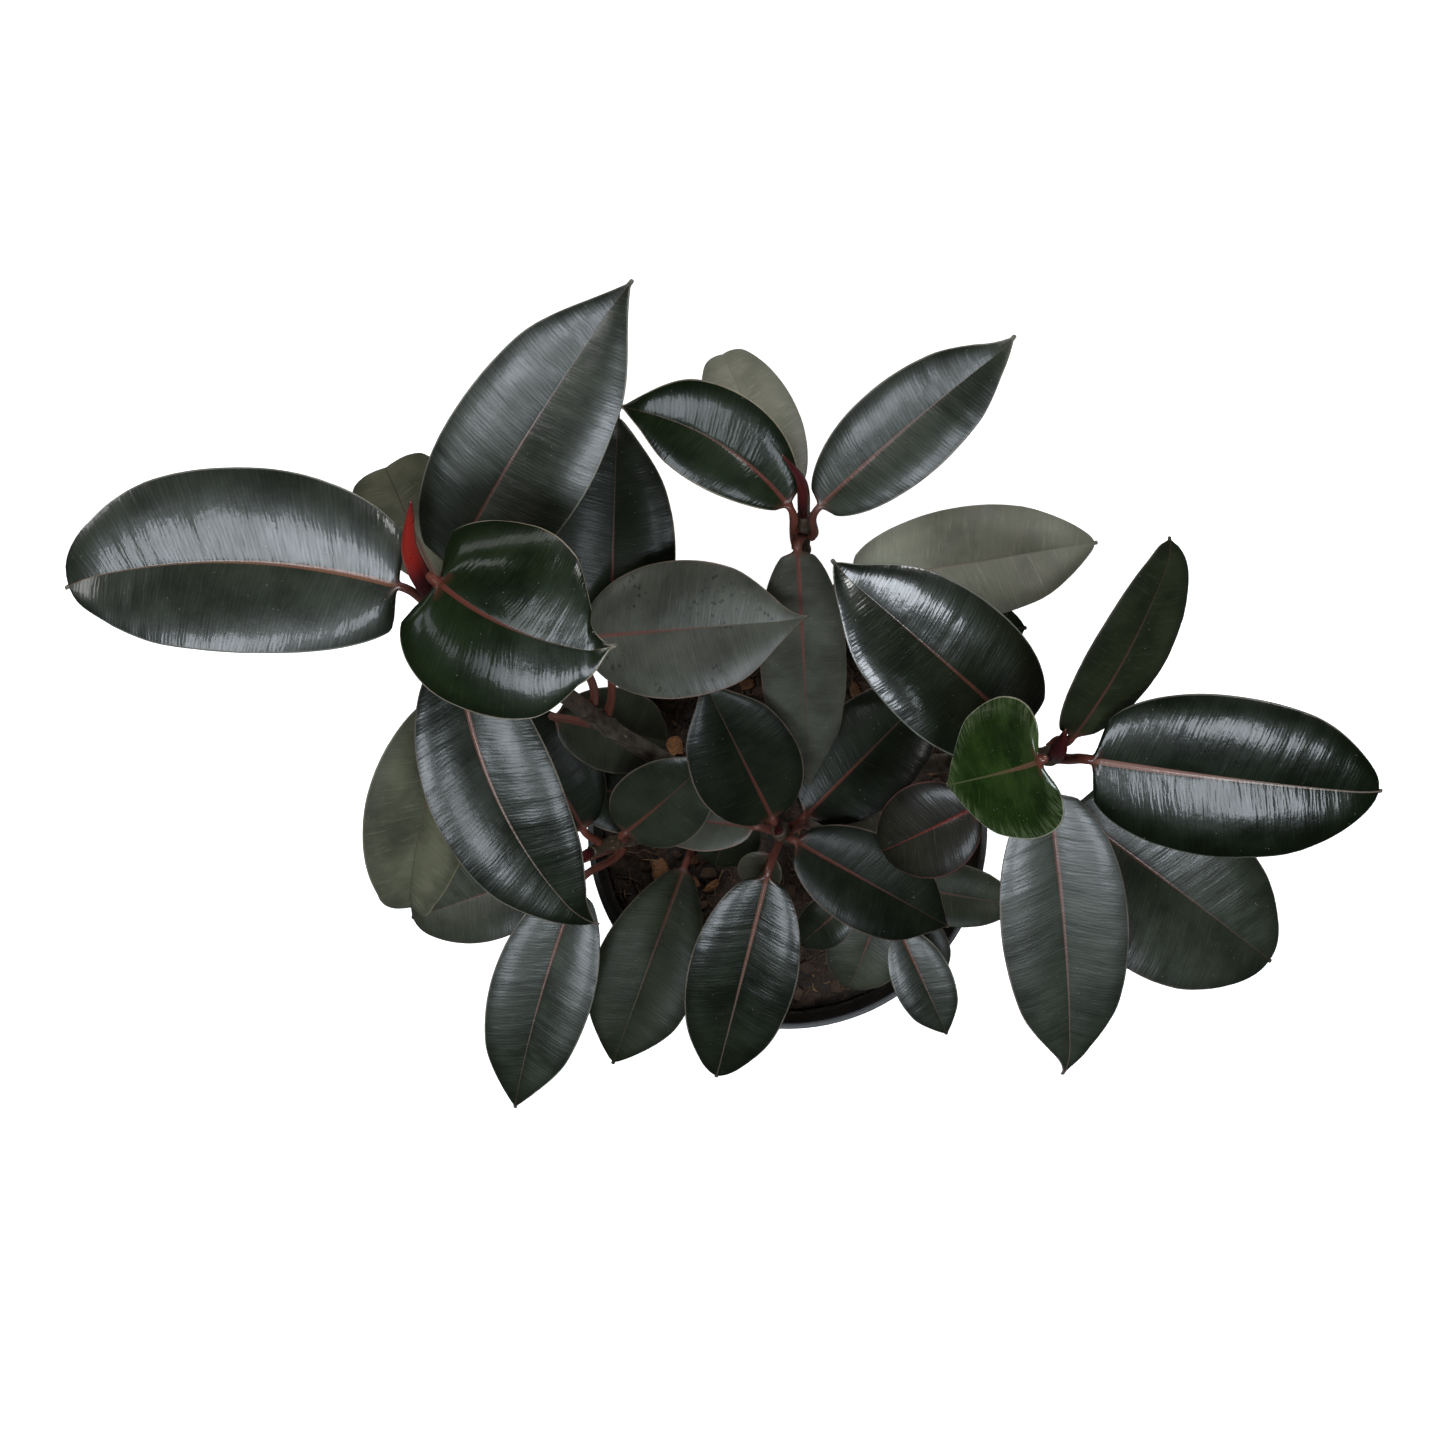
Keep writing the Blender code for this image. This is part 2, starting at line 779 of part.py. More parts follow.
def blade_normals(leaf, t, s):
    step = 1e-3
    ahead = blade_surface(leaf, np.minimum(t + step, 1.0), s)
    behind = blade_surface(leaf, np.maximum(t - step, 0.0), s)
    to_left = blade_surface(leaf, t, np.minimum(s + step, 1.0))
    to_right = blade_surface(leaf, t, np.maximum(s - step, -1.0))
    return unit(np.cross(ahead - behind, to_left - to_right))


def petiole_path(leaf, cane):
    """A bent line from the side of the cane to the base of the blade, and its direction at each point."""
    axis, up, radius = cane_at(cane, leaf.foot)
    start, forward, _, _ = midrib(leaf, np.array([0.0]))
    target = start[0]
    outward = target - axis
    outward = unit(outward - up * np.dot(outward, up))
    rise = math.radians(leaf.rise)
    leaving = math.cos(rise) * outward + math.sin(rise) * up
    foot_radius = FOOT_SWELL * leaf.petiole
    foot = axis + outward * (radius + GAP + foot_radius * math.sin(rise))
    reach = float(np.linalg.norm(target - foot)) / 3
    a, b, c, d = foot, foot + reach * leaving, target - reach * forward[0], target
    f = np.linspace(0, 1, PETIOLE_STATIONS)[:, None]
    points = (1 - f) ** 3 * a + 3 * f * (1 - f) ** 2 * b + 3 * f**2 * (1 - f) * c + f**3 * d
    heading = 3 * (1 - f) ** 2 * (b - a) + 6 * f * (1 - f) * (c - b) + 3 * f**2 * (d - c)
    return points, unit(heading)


def ring(centre, left, above, radius, columns):
    """Points on a circle, laid out like one section of the blade."""
    top = np.linspace(math.pi, 0, 2 * columns + 1)[1::2]
    angles = np.concatenate([top, -top[::-1]])
    return centre + radius * (-np.cos(angles)[:, None] * left + np.sin(angles)[:, None] * above)


def leaf_sections(leaf, cane):
    """Closed sections from the foot of the petiole to the drip tip, each with its upper side first."""
    columns = len(ACROSS)
    t = np.array(BLADE_STATIONS)
    s = np.array(ACROSS)
    middle = blade_surface(leaf, t, s)
    normals = blade_normals(leaf, t, s)
    centre, _, left, above = midrib(leaf, t)
    half = outline(leaf, t)[:, None]
    rib = RIB_DEPTH * (1 - RIB_FADE * t)[:, None] * np.exp(-((s[None, :] * half / RIB_HALF_WIDTH) ** 2))
    upper = middle + normals * BLADE_THICKNESS / 2
    lower = middle - normals * (BLADE_THICKNESS / 2 + rib)[..., None]
    sections = []
    for i, place in enumerate(t):
        blade = np.vstack([upper[i], lower[i][::-1]])
        share = min(place / COLLAR_END, 1.0)
        share = share * share * (3 - 2 * share)
        round_ring = ring(centre[i], left[i], above[i], leaf.petiole, columns)
        sections.append((1 - share) * round_ring + share * blade)
    points, headings = petiole_path(leaf, cane)
    side = left[0]
    stalk = []
    for k in range(PETIOLE_STATIONS - 2, -1, -1):
        heading = headings[k]
        side = unit(side - heading * np.dot(side, heading))
        share = 1 - k / (PETIOLE_STATIONS - 1)
        radius = leaf.petiole * (FOOT_SWELL + share * (1 - FOOT_SWELL))
        stalk.append(ring(points[k], side, np.cross(heading, side), radius, columns))
    return stalk[::-1] + sections


def loft(name, sections, columns):
    """One closed mesh through the sections, with the same split of each cell on its upper and lower side."""
    around = 2 * columns
    faces = []
    for i in range(len(sections) - 1):
        near = i * around
        far = near + around
        for j in range(around):
            k = (j + 1) % around
            if j < columns:
                faces += [(near + j, near + k, far + k), (near + j, far + k, far + j)]
            else:
                faces += [(near + j, near + k, far + j), (near + k, far + k, far + j)]
    last = (len(sections) - 1) * around
    for j in range(columns - 1):
        low = around - 1 - j
        faces.append((j, low, low - 1, j + 1))
        faces.append((last + j, last + j + 1, last + low - 1, last + low))
    mesh = bpy.data.meshes.new(name)
    mesh.from_pydata([tuple(point) for point in np.vstack(sections)], [], faces)
    shade_smooth(mesh, LEAF_SHARP)
    return mesh


def make_leaf(name, leaf, collection, material):
    cane = CANES[name.rsplit("_", 1)[0]]
    mesh = loft(name, leaf_sections(leaf, cane), len(ACROSS))
    return new_object(f"leaf_{name}", mesh, collection, material)


def clear_scene():
    for obj in list(bpy.data.objects):
        bpy.data.objects.remove(obj, do_unlink=True)


def main():
    clear_scene()
    plant = new_collection("potted_rubber_plant")
    cutters = new_collection("cutters")
    cutters.hide_render = True
    black_plastic = new_material("pot_plastic", (0.012, 0.012, 0.013), 0.45)
    potting_mix = new_material("potting_mix", (0.045, 0.026, 0.015), 0.95)
    bark = new_material("cane_bark", (0.075, 0.055, 0.035), 0.75)
    leather = new_material("leaf_green", (0.012, 0.028, 0.016), 0.25)
    red = new_material("sheath_red", (0.220, 0.010, 0.012), 0.40)
    make_pot(plant, cutters, black_plastic)
    make_soil(plant, cutters, potting_mix)
    for name, cane in CANES.items():
        make_cane(name, cane, plant, bark)
    for name, leaf in LEAVES.items():
        make_leaf(name, leaf, plant, leather)
    for name, sheath in SHEATHS.items():
        make_sheath(name, sheath, plant, red)


main()
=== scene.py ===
"""Visual model of the potted burgundy rubber plant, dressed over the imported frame.

Metres, +Z up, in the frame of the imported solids. Leaves, canes and sheaths follow the same formulas as the
solids that they replace, with many more sections, and carry their own surface maps for the materials.
"""

import math
from dataclasses import dataclass, replace

import bmesh
import bpy
import numpy as np
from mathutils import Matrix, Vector, noise


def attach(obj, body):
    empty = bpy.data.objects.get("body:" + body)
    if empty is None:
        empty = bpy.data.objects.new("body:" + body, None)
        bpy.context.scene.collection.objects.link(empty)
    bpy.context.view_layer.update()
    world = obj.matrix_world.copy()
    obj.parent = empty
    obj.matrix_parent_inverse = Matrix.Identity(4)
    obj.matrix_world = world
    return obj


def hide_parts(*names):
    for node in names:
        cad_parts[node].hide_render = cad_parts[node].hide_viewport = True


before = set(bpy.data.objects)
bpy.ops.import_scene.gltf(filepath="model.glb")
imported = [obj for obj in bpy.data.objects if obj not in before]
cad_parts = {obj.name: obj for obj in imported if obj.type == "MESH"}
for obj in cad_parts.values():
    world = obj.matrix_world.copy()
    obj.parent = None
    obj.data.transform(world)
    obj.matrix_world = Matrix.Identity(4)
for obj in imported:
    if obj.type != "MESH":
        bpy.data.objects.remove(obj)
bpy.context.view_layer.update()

# Pot
POT_HEIGHT = 0.22
POT_TOP_RADIUS = 0.12
POT_BASE_RADIUS = 0.088
POT_WALL = 0.0022
RIM_HEIGHT = 0.014
RIM_OVERHANG = 0.0035
WALL_WIDENING = POT_TOP_RADIUS - RIM_OVERHANG - POT_BASE_RADIUS
RIM_ROUND = 0.0008
EDGE_BEVEL = 0.001
FOOT_WIDTH = 0.01
PAD_RADIUS = 0.042
FLOOR_RAISE = 0.004
DRAIN_HOLES = 6
DRAIN_RADIUS = 0.006
DRAIN_CIRCLE = 0.06
DRAIN_SPAN = (-0.002, 0.012)
DRAIN_SIDES = 32
NOTCH_WIDTH = 0.012
NOTCH_HEIGHT = 0.0026

# Soil
SOIL_TOP = 0.195
SOIL_RELIEF = 0.0035
SOIL_GRAIN = 55.0
FINE_GRAIN = 126.0
FINE_SHARE = 0.5
SOIL_EDGE_DROP = 0.004
SOIL_SHOULDER = 0.01

# Canes
ROOT_DEPTH = 0.045
CANE_SAMPLES = 12
GAP = 0.0003

# Leaves
BLADE_THICKNESS = 0.001
RIB_DEPTH = 0.0016
RIB_HALF_WIDTH = 0.0022
RIB_FADE = 0.8
BLADE_END = 0.985
TAPER_START = 0.7
HOOK_START = 0.88
SECTION_STEPS = (np.arange(12) + 0.5) / 12
LOBE_END = 0.6
LOBE_DROP = 1.2
LOBE_SKEW = 0.5
LOBE_FILL = 0.45
COLLAR_END = 0.035
NECK_PLACES = (0.0, 0.05, 0.9, 1.0)
NECK_HALF_WIDTH = 0.0011
TIP_HALF_WIDTH = 0.0008
WAVES = 2.0
SIDE_PHASE = 1.3
FOOT_SWELL = 1.12


@dataclass(frozen=True)
class Cane:
    """A stem: the points that it passes above the soil, and its radius at both ends."""

    path: tuple
    root_radius: float
    top_radius: float


@dataclass(frozen=True)
class Leaf:
    """One leaf of the cane that its name starts with.

    Foot is the height at which the petiole leaves the cane, petiole its radius and rise the angle at which
    it leaves. Angles are in degrees. Peak is where the blade is widest, and a low full makes its outline
    blunter. Arch and sweep bow the midrib up and to the left by a share of the blade's length, roll tips
    the blade about it and twist turns it along it. Lean widens the left half by a share. Fold
    lifts each half from the midrib, curl bends it down again towards its margin, and relax is the share of
    curl lost at the tip. Wave lifts the margin in waves by a share of the half width. Taper narrows the
    last third to a drawn-out tip, hook bends the drip tip down and flick turns it to the left. Heart is
    how far the two lobes of the base reach back past the petiole, the left one further than the right
    one. Skin is the key of its look.
    """

    foot: float
    base: tuple
    tip: tuple
    width: float
    skin: str
    peak: float = 0.45
    full: float = 0.56
    taper: float = 0.5
    lean: float = 0.0
    arch: float = 0.05
    sweep: float = 0.0
    fold: float = 17.0
    curl: float = 29.0
    relax: float = 0.0
    roll: float = 0.0
    twist: float = 0.0
    hook: float = 0.004
    flick: float = 0.0
    wave: float = 0.0
    petiole: float = 0.0021
    rise: float = 40.0
    heart: float = 0.0


CANES = {
    "left": Cane(
        (
            (-0.033, 0.016, 0.204),
            (-0.046, 0.025, 0.25),
            (-0.078, 0.046, 0.33),
            (-0.105, 0.065, 0.4),
            (-0.178, 0.126, 0.574),
        ),
        0.0062,
        0.0046,
    ),
    "back": Cane(
        ((0.01, 0.032, 0.204), (0.008, 0.06, 0.28), (0.003, 0.125, 0.41), (0.002, 0.169, 0.503)),
        0.0055,
        0.0036,
    ),
    "right": Cane(
        ((0.06, 0.038, 0.204), (0.07, 0.039, 0.26), (0.092, 0.042, 0.36), (0.123, 0.048, 0.548)),
        0.0058,
        0.0044,
    ),
    "middle": Cane(
        ((0.002, -0.006, 0.204), (-0.002, -0.001, 0.28), (-0.008, 0.005, 0.372)),
        0.005,
        0.0038,
    ),
    "low_left": Cane(
        ((-0.056, -0.004, 0.204), (-0.066, -0.002, 0.235), (-0.1, -0.005, 0.285), (-0.114, -0.01, 0.3)),
        0.0042,
        0.0033,
    ),
    "low_right": Cane(
        ((0.06, -0.024, 0.204), (0.056, -0.028, 0.23), (0.047, -0.034, 0.258)),
        0.0042,
        0.0033,
    ),
}

THIN_PETIOLE = 0.0016

LEAVES = {
    "left_1": Leaf(
        0.556, (-0.193, 0.129, 0.578), (-0.3543, 0.1303, 0.574), 0.089, "waxy", peak=0.46, full=0.36,
        taper=0.3, lean=-0.02, arch=0.03, sweep=-0.07, fold=15, curl=27, roll=-4, flick=0.002,
        heart=0.005,
    ),
    "left_2": Leaf(
        0.505, (-0.175, 0.141, 0.515), (-0.083, 0.274, 0.58), 0.077, "satin", peak=0.41, full=0.52,
        taper=0.8, lean=-0.05, sweep=0.01, fold=19,
    ),
    "left_3": Leaf(
        0.566, (-0.1714, 0.1293, 0.616), (-0.093, 0.0969, 0.59), 0.0975, "domed", peak=0.4, full=0.4,
        taper=1.0, lean=0.04, arch=-0.06, sweep=-0.08, fold=5, curl=72, relax=0.8, roll=4, twist=14,
        hook=-0.006, flick=0.005, rise=55, heart=0.004,
    ),
    "left_4": Leaf(
        0.492, (-0.182, 0.134, 0.502), (-0.215, 0.2, 0.462), 0.051, "old", peak=0.66, full=0.34,
        taper=0.0, lean=-0.03, fold=10, hook=0.01,
    ),
    "left_5": Leaf(
        0.5, (-0.172, 0.1025, 0.512), (-0.1065, -0.043, 0.465), 0.067, "ribbed", taper=0.6, sweep=-0.085,
        flick=0.004,
    ),
    "left_6": Leaf(
        0.465, (-0.169, 0.08, 0.47), (-0.205, -0.038, 0.425), 0.068, "old", full=0.5, taper=0.0,
        sweep=-0.045, fold=35, curl=5, hook=0.01,
    ),
    "left_7": Leaf(0.4, (-0.098, 0.099, 0.434), (-0.093, 0.222, 0.47), 0.066, "shade"),
    "left_8": Leaf(
        0.415, (-0.112, 0.108, 0.455), (0.003, 0.116, 0.498), 0.071, "spotted", taper=0.9, fold=10,
        flick=0.002,
    ),
    "left_9": Leaf(0.385, (-0.131, 0.067, 0.372), (-0.069, 0.053, 0.3), 0.048, "dull"),
    "left_10": Leaf(0.248, (-0.069, 0.011, 0.282), (-0.143, 0.04, 0.298), 0.044, "shade"),
    "back_1": Leaf(
        0.494, (-0.006, 0.171, 0.524), (-0.089, 0.219, 0.537), 0.05, "faint", peak=0.5, taper=0.7,
        lean=-0.07, arch=0.05, sweep=-0.1, roll=-8, petiole=0.0018, rise=65,
    ),
    "back_2": Leaf(
        0.488, (0.009, 0.171, 0.52), (0.103, 0.249, 0.56), 0.05, "calm", taper=0.7, sweep=0.014,
        flick=0.002, petiole=0.0018, rise=65,
    ),
    "back_3": Leaf(
        0.466, (-0.0062, 0.177, 0.498), (-0.041, 0.262, 0.44), 0.046, "pale", full=0.5, taper=0.0,
        fold=10, hook=0.01, petiole=THIN_PETIOLE, rise=70,
    ),
    "back_4": Leaf(
        0.49, (-0.0012, 0.1515, 0.5), (0.009, 0.027, 0.37), 0.048, "dusty", taper=0.9, arch=0.02, fold=10,
        curl=60,
    ),
    "back_5": Leaf(
        0.42, (0.028, 0.137, 0.436), (0.161, 0.16, 0.42), 0.06, "pale", full=0.46, taper=0.5, fold=8,
        wave=0.1,
    ),
    "back_6": Leaf(0.36, (0.024, 0.112, 0.38), (0.128, 0.116, 0.372), 0.056, "dim", full=0.5),
    "right_1": Leaf(
        0.492, (0.112, 0.059, 0.508), (0.014, 0.14, 0.562), 0.073, "mirror", peak=0.41, full=0.46,
        taper=0.7, flick=-0.002,
    ),
    "right_2": Leaf(
        0.533, (0.13, 0.057, 0.56), (0.1735, 0.149, 0.6), 0.056, "olive", full=0.46, taper=0.0,
        lean=-0.06, fold=10, roll=45,
    ),
    "right_3": Leaf(
        0.543, (0.109, 0.046, 0.61), (0.0675, 0.033, 0.552), 0.073, "young", peak=0.43, full=0.5,
        taper=1.0, arch=-0.12, sweep=0.02, fold=5, curl=75, relax=0.8, rise=65,
    ),
    "right_4": Leaf(
        0.536, (0.139, 0.046, 0.562), (0.2814, 0.0294, 0.556), 0.084, "glossy", full=0.38, taper=0.4,
        arch=0.03, fold=8, curl=32, roll=20, petiole=0.0024,
    ),
    "right_5": Leaf(
        0.5, (0.124, 0.03, 0.51), (0.143, -0.122, 0.44), 0.066, "broad", peak=0.42, full=0.58, taper=0.9,
        sweep=0.012, flick=-0.003,
    ),
    "right_6": Leaf(
        0.46, (0.139, 0.02, 0.472), (0.252, -0.063, 0.43), 0.092, "lit", full=0.48, taper=0.3, lean=-0.08,
    ),
    "right_7": Leaf(
        0.41, (0.097, 0.019, 0.408), (0.047, -0.007, 0.377), 0.053, "plum", full=0.5, taper=0.2,
    ),
    "middle_1": Leaf(0.362, (-0.012, 0.012, 0.392), (-0.049, 0.086, 0.446), 0.06, "shade", taper=0.8),
    "middle_2": Leaf(0.347, (0.001, -0.001, 0.37), (0.089, -0.051, 0.336), 0.054, "shade", taper=0.9),
    "middle_3": Leaf(0.335, (-0.014, -0.021, 0.345), (-0.043, -0.142, 0.29), 0.062, "ribbed", taper=0.35),
    "middle_4": Leaf(0.336, (0.007, 0.012, 0.35), (0.082, 0.087, 0.335), 0.06, "shade"),
    "middle_5": Leaf(0.335, (-0.021, 0.006, 0.344), (-0.086, 0.012, 0.305), 0.034, "dusty"),
    "middle_6": Leaf(0.262, (-0.03, 0.018, 0.286), (-0.044, -0.021, 0.258), 0.042, "olive"),
    "middle_7": Leaf(
        0.298, (-0.011, -0.011, 0.314), (-0.024, -0.031, 0.296), 0.026, "old", petiole=THIN_PETIOLE,
    ),
    "middle_8": Leaf(
        0.318, (0.008, 0.006, 0.332), (0.054, 0.013, 0.318), 0.032, "pale", petiole=THIN_PETIOLE,
    ),
    "low_left_1": Leaf(0.297, (-0.118, 0.003, 0.313), (-0.156, 0.076, 0.33), 0.056, "dim"),
    "low_left_2": Leaf(0.284, (-0.094, 0.002, 0.322), (-0.045, 0.045, 0.374), 0.052, "low", roll=12),
    "low_left_3": Leaf(
        0.28, (-0.122, -0.03, 0.305), (-0.161, -0.163, 0.262), 0.06, "calm", taper=0.7, sweep=-0.02,
    ),
    "low_left_4": Leaf(0.272, (-0.135, -0.021, 0.275), (-0.224, -0.052, 0.245), 0.056, "dull", taper=0.0),
    "low_left_5": Leaf(
        0.228, (-0.061, -0.02, 0.268), (-0.104, -0.138, 0.25), 0.062, "olive", peak=0.55, taper=0.6,
    ),
    "low_right_1": Leaf(
        0.25, (0.036, -0.04, 0.262), (0.006, -0.068, 0.245), 0.03, "low", petiole=THIN_PETIOLE,
    ),
    "low_right_2": Leaf(
        0.238, (0.053, -0.049, 0.252), (0.036, -0.096, 0.232), 0.046, "dull", petiole=THIN_PETIOLE,
    ),
    "low_right_3": Leaf(
        0.25, (0.064, -0.057, 0.272), (0.094, -0.121, 0.25), 0.035, "satin", taper=0.8,
        petiole=THIN_PETIOLE,
    ),
    "low_right_4": Leaf(
        0.226, (0.068, -0.05, 0.24), (0.092, -0.09, 0.23), 0.032, "dull", petiole=THIN_PETIOLE,
    ),
    "low_right_5": Leaf(
        0.245, (0.056, -0.03, 0.258), (0.138, -0.044, 0.255), 0.038, "olive", petiole=THIN_PETIOLE,
    ),
}


@dataclass(frozen=True)
class Sheath:
    """The rolled sheath round the next leaf: where its middle bends to, its tip and its largest radius."""

    bend: tuple
    tip: tuple
    radius: float


SHEATHS = {
    "left": Sheath((-0.186, 0.145, 0.598), (-0.183, 0.1665, 0.622), 0.0049),
    "back": Sheath((-0.0002, 0.1825, 0.536), (-0.0101, 0.1933, 0.562), 0.0031),
    "right": Sheath((0.124, 0.053, 0.564), (0.125, 0.061, 0.577), 0.004),
    "middle": Sheath((-0.009, 0.005, 0.384), (-0.011, 0.003, 0.396), 0.0026),
    "low_left": Sheath((-0.117, -0.012, 0.306), (-0.12, -0.017, 0.314), 0.003),
}
SHEATH_FOOT_SHARE = 0.8
SHEATH_PLACES = (0.0, 0.25, 0.5, 0.75, 1.0)
SHEATH_SWELL = (0.85, 0.97, 1.0, 0.62, 0.1)


def wall_radius(z):
    """Outer radius of the tapering wall at a height."""
    share = z / (POT_HEIGHT - RIM_HEIGHT)
    return POT_BASE_RADIUS + share * WALL_WIDENING


def soil_height(x, y):
    """Height of the soil at a place: a fixed noise, and a little lower next to the wall."""
    bumps = noise.noise(Vector((x, y, 0.0)) * SOIL_GRAIN)
    fine = noise.noise(Vector((x, y, 0.3)) * FINE_GRAIN)
    edge = (math.hypot(x, y) / wall_radius(SOIL_TOP)) ** 4
    return SOIL_TOP + SOIL_RELIEF * (bumps + FINE_SHARE * fine) - SOIL_EDGE_DROP * edge


def smooth_path(points, samples):
    """Points evenly spread in parameter along a Catmull-Rom curve through the given ones."""
    knots = np.array(points, float)
    first = 2 * knots[0] - knots[1]
    first[:2] = knots[0, :2]
    last = 2 * knots[-1] - knots[-2]
    knots = np.vstack([first, knots, last])
    spans = len(points) - 1
    out = []
    for u in np.linspace(0, spans, samples):
        i = min(int(u), spans - 1)
        f = u - i
        a, b, c, d = knots[i : i + 4]
        bend = 2 * a - 5 * b + 4 * c - d
        turn = 3 * b - a - 3 * c + d
        out.append(0.5 * (2 * b + (c - a) * f + bend * f**2 + turn * f**3))
    return np.array(out)


def cane_axis(cane):
    """The cane's middle line from its buried end to its top, and the radius at each point."""
    above = smooth_path(cane.path, CANE_SAMPLES)
    root = above[0]
    buried = np.array([root[0], root[1], SOIL_TOP - ROOT_DEPTH])
    line = np.vstack([buried, above])
    share = np.linspace(0, 1, len(above))
    radii = cane.root_radius + share * (cane.top_radius - cane.root_radius)
    return line, np.concatenate([[cane.root_radius], radii])


def cane_at(cane, height):
    """Point, direction and radius of a cane at a height."""
    line, radii = cane_axis(cane)
    point = np.array([np.interp(height, line[:, 2], line[:, k]) for k in range(3)])
    i = min(max(int(np.searchsorted(line[:, 2], height)), 1), len(line) - 1)
    along = unit(line[i] - line[i - 1])
    return point, along, float(np.interp(height, line[:, 2], radii))


def unit(vector):
    return vector / np.linalg.norm(vector, axis=-1, keepdims=True)


def outline(leaf, t):
    """Half width of the flattened blade along it, drawn out at both ends to the petiole and the drip tip."""
    power = math.log(0.5) / math.log(leaf.peak)
    inside = np.clip(t / BLADE_END, 0.0, 1.0)
    body = leaf.width / 2 * np.sin(math.pi * inside**power) ** leaf.full
    late = np.clip((t - TAPER_START) / (1 - TAPER_START), 0.0, 1.0)
    body = body * (1 - leaf.taper * late**2)
    neck = np.interp(t, NECK_PLACES, (leaf.petiole, NECK_HALF_WIDTH, NECK_HALF_WIDTH, TIP_HALF_WIDTH))
    return np.sqrt(body**2 + neck**2)


def leaf_axes(leaf):
    """Base, blade length, and the directions along, to the left of and above the blade."""
    base = np.array(leaf.base)
    chord = np.array(leaf.tip) - base
    length = float(np.linalg.norm(chord))
    along = chord / length
    level_left = unit(np.cross((0.0, 0.0, 1.0), along))
    above = np.cross(along, level_left)
    tilt = math.radians(leaf.roll)
    left = math.cos(tilt) * level_left + math.sin(tilt) * above
    return base, length, along, left, np.cross(along, left)


def midrib(leaf, t):
    """Points of the midrib, its direction, and the blade's left and upper directions there."""
    base, length, along, left, above = leaf_axes(leaf)
    t = np.asarray(t, float)[..., None]
    bow = 4 * t * (1 - t)
    slope = 4 * (1 - 2 * t)
    late = np.clip((t - HOOK_START) / (1 - HOOK_START), 0.0, None)
    turn_off = leaf.flick * left - leaf.hook * above
    turn_slope = 2 * late / (1 - HOOK_START)
    bent = leaf.arch * above + leaf.sweep * left
    points = base + length * (t * along + bow * bent) + late**2 * turn_off
    forward = unit(length * (along + slope * bent) + turn_slope * turn_off)
    turn = np.radians(leaf.twist) * (t - 0.5)
    left = np.cos(turn) * left + np.sin(turn) * above
    left = unit(left - forward * np.sum(left * forward, axis=-1, keepdims=True))
    return points, forward, left, np.cross(forward, left)


def blade_surface(leaf, t, s):
    """Middle surface of the blade at shares t along it and s across it, from 1 on the left to -1."""
    points, forward, left, above = midrib(leaf, t)
    s = np.asarray(s, float)[None, :]
    far = np.abs(s)
    half = outline(leaf, t)[:, None]
    fold = math.radians(leaf.fold)
    filled = np.minimum(half / (LOBE_FILL * leaf.width / 2), 1.0)
    half = half * (1 + leaf.lean * np.sign(s))
    bend = math.radians(leaf.curl) * (1 - leaf.relax * t[:, None])
    angle = fold - bend[..., None] * (far[..., None] * SECTION_STEPS) ** 2
    lateral = half * far * np.cos(angle).mean(axis=-1)
    height = half * far * np.sin(angle).mean(axis=-1)
    phase = 2 * math.pi * WAVES * t[:, None] + SIDE_PHASE * np.sign(s)
    height = height + leaf.wave * half * far**2 * np.sin(phase)
    lobe = filled * leaf.heart * (1 + LOBE_SKEW * np.sign(s))
    back = lobe * (far * np.clip(1 - t[:, None] / LOBE_END, 0.0, 1.0)) ** 2
    height = height - LOBE_DROP * back
    return (
        points[:, None, :]
        - back[..., None] * forward[:, None, :]
        + (np.sign(s) * lateral)[..., None] * left[:, None, :]
        + height[..., None] * above[:, None, :]
    )


def blade_normals(leaf, t, s):
    """Upward directions of the middle surface, from its small differences."""
    step = 1e-3
    ahead = blade_surface(leaf, np.minimum(t + step, 1.0), s)
    behind = blade_surface(leaf, np.maximum(t - step, 0.0), s)
    to_left = blade_surface(leaf, t, np.minimum(s + step, 1.0))
    to_right = blade_surface(leaf, t, np.maximum(s - step, -1.0))
    return unit(np.cross(ahead - behind, to_left - to_right))


# Fine meshes
SIDE_PLACES = (1.0, 0.985, 0.955, 0.9, 0.82, 0.72, 0.61, 0.5, 0.39, 0.29, 0.2, 0.13, 0.08, 0.045, 0.02)
ACROSS = SIDE_PLACES + (0.0,) + tuple(-s for s in reversed(SIDE_PLACES))
STATION_STEP = 0.0016
FEWEST_STATIONS = 40
MOST_STATIONS = 104
END_CROWDING = 0.45
STALK_STATIONS = 14
STALK_SINK = 0.0016
STALK_FLARE = 0.0004
FLARE_FADE = 1.1
MARGIN_ROUND = 0.00035
MARGIN_THINNING = 0.45
END_SHARE = 0.55
END_REACH = 0.0005
GROOVE_DEPTH = 0.00012
GROOVE_WIDTH = 0.0009
GROOVE_FADE = 0.75
SHOULDER_LIFT = 0.00003
SHOULDER_PLACE = 0.003
SHOULDER_WIDTH = 0.0014
VEIN_SLANT = 0.26
RIB_CALM = 0.006
NARROW_BLADE = 0.008
PUCKER = 0.0004
PUCKER_GRAIN = 55
RIPPLE = 0.00019
RIPPLE_ACROSS = 16
RIPPLE_ALONG = 210
UNEVEN_EDGE = 0.01
STALK_COLOUR_END = 0.007


@dataclass(frozen=True)
class Skin:
    """How one kind of leaf looks.

    The five colours are linear: two greens, the midrib at its foot and at its tip, and the margin line,
    which is partly the leaf's own pale edge and partly a painted highlight. Gloss is the roughness of the
    upper face. Dust and spots are shares of pale dust and of dark spots, and ripple is the strength of the
    bumps. Bare is the share of shine that the blade's foot lacks, painted_sheen the strength of a painted
    highlight of pale streaks inside the margin, and tint multiplies the greens.
    """

    dark: tuple
    light: tuple
    rib: tuple
    rib_tip: tuple
    rim: tuple
    gloss: float
    coat: float
    coat_gloss: float
    specular: float
    dust: float
    ripple: float
    rib_half: float = 0.00092
    spots: float = 0.0
    bare: float = 0.0
    painted_sheen: float = 0.0
    tint: tuple = (0.95, 1.15, 0.7)


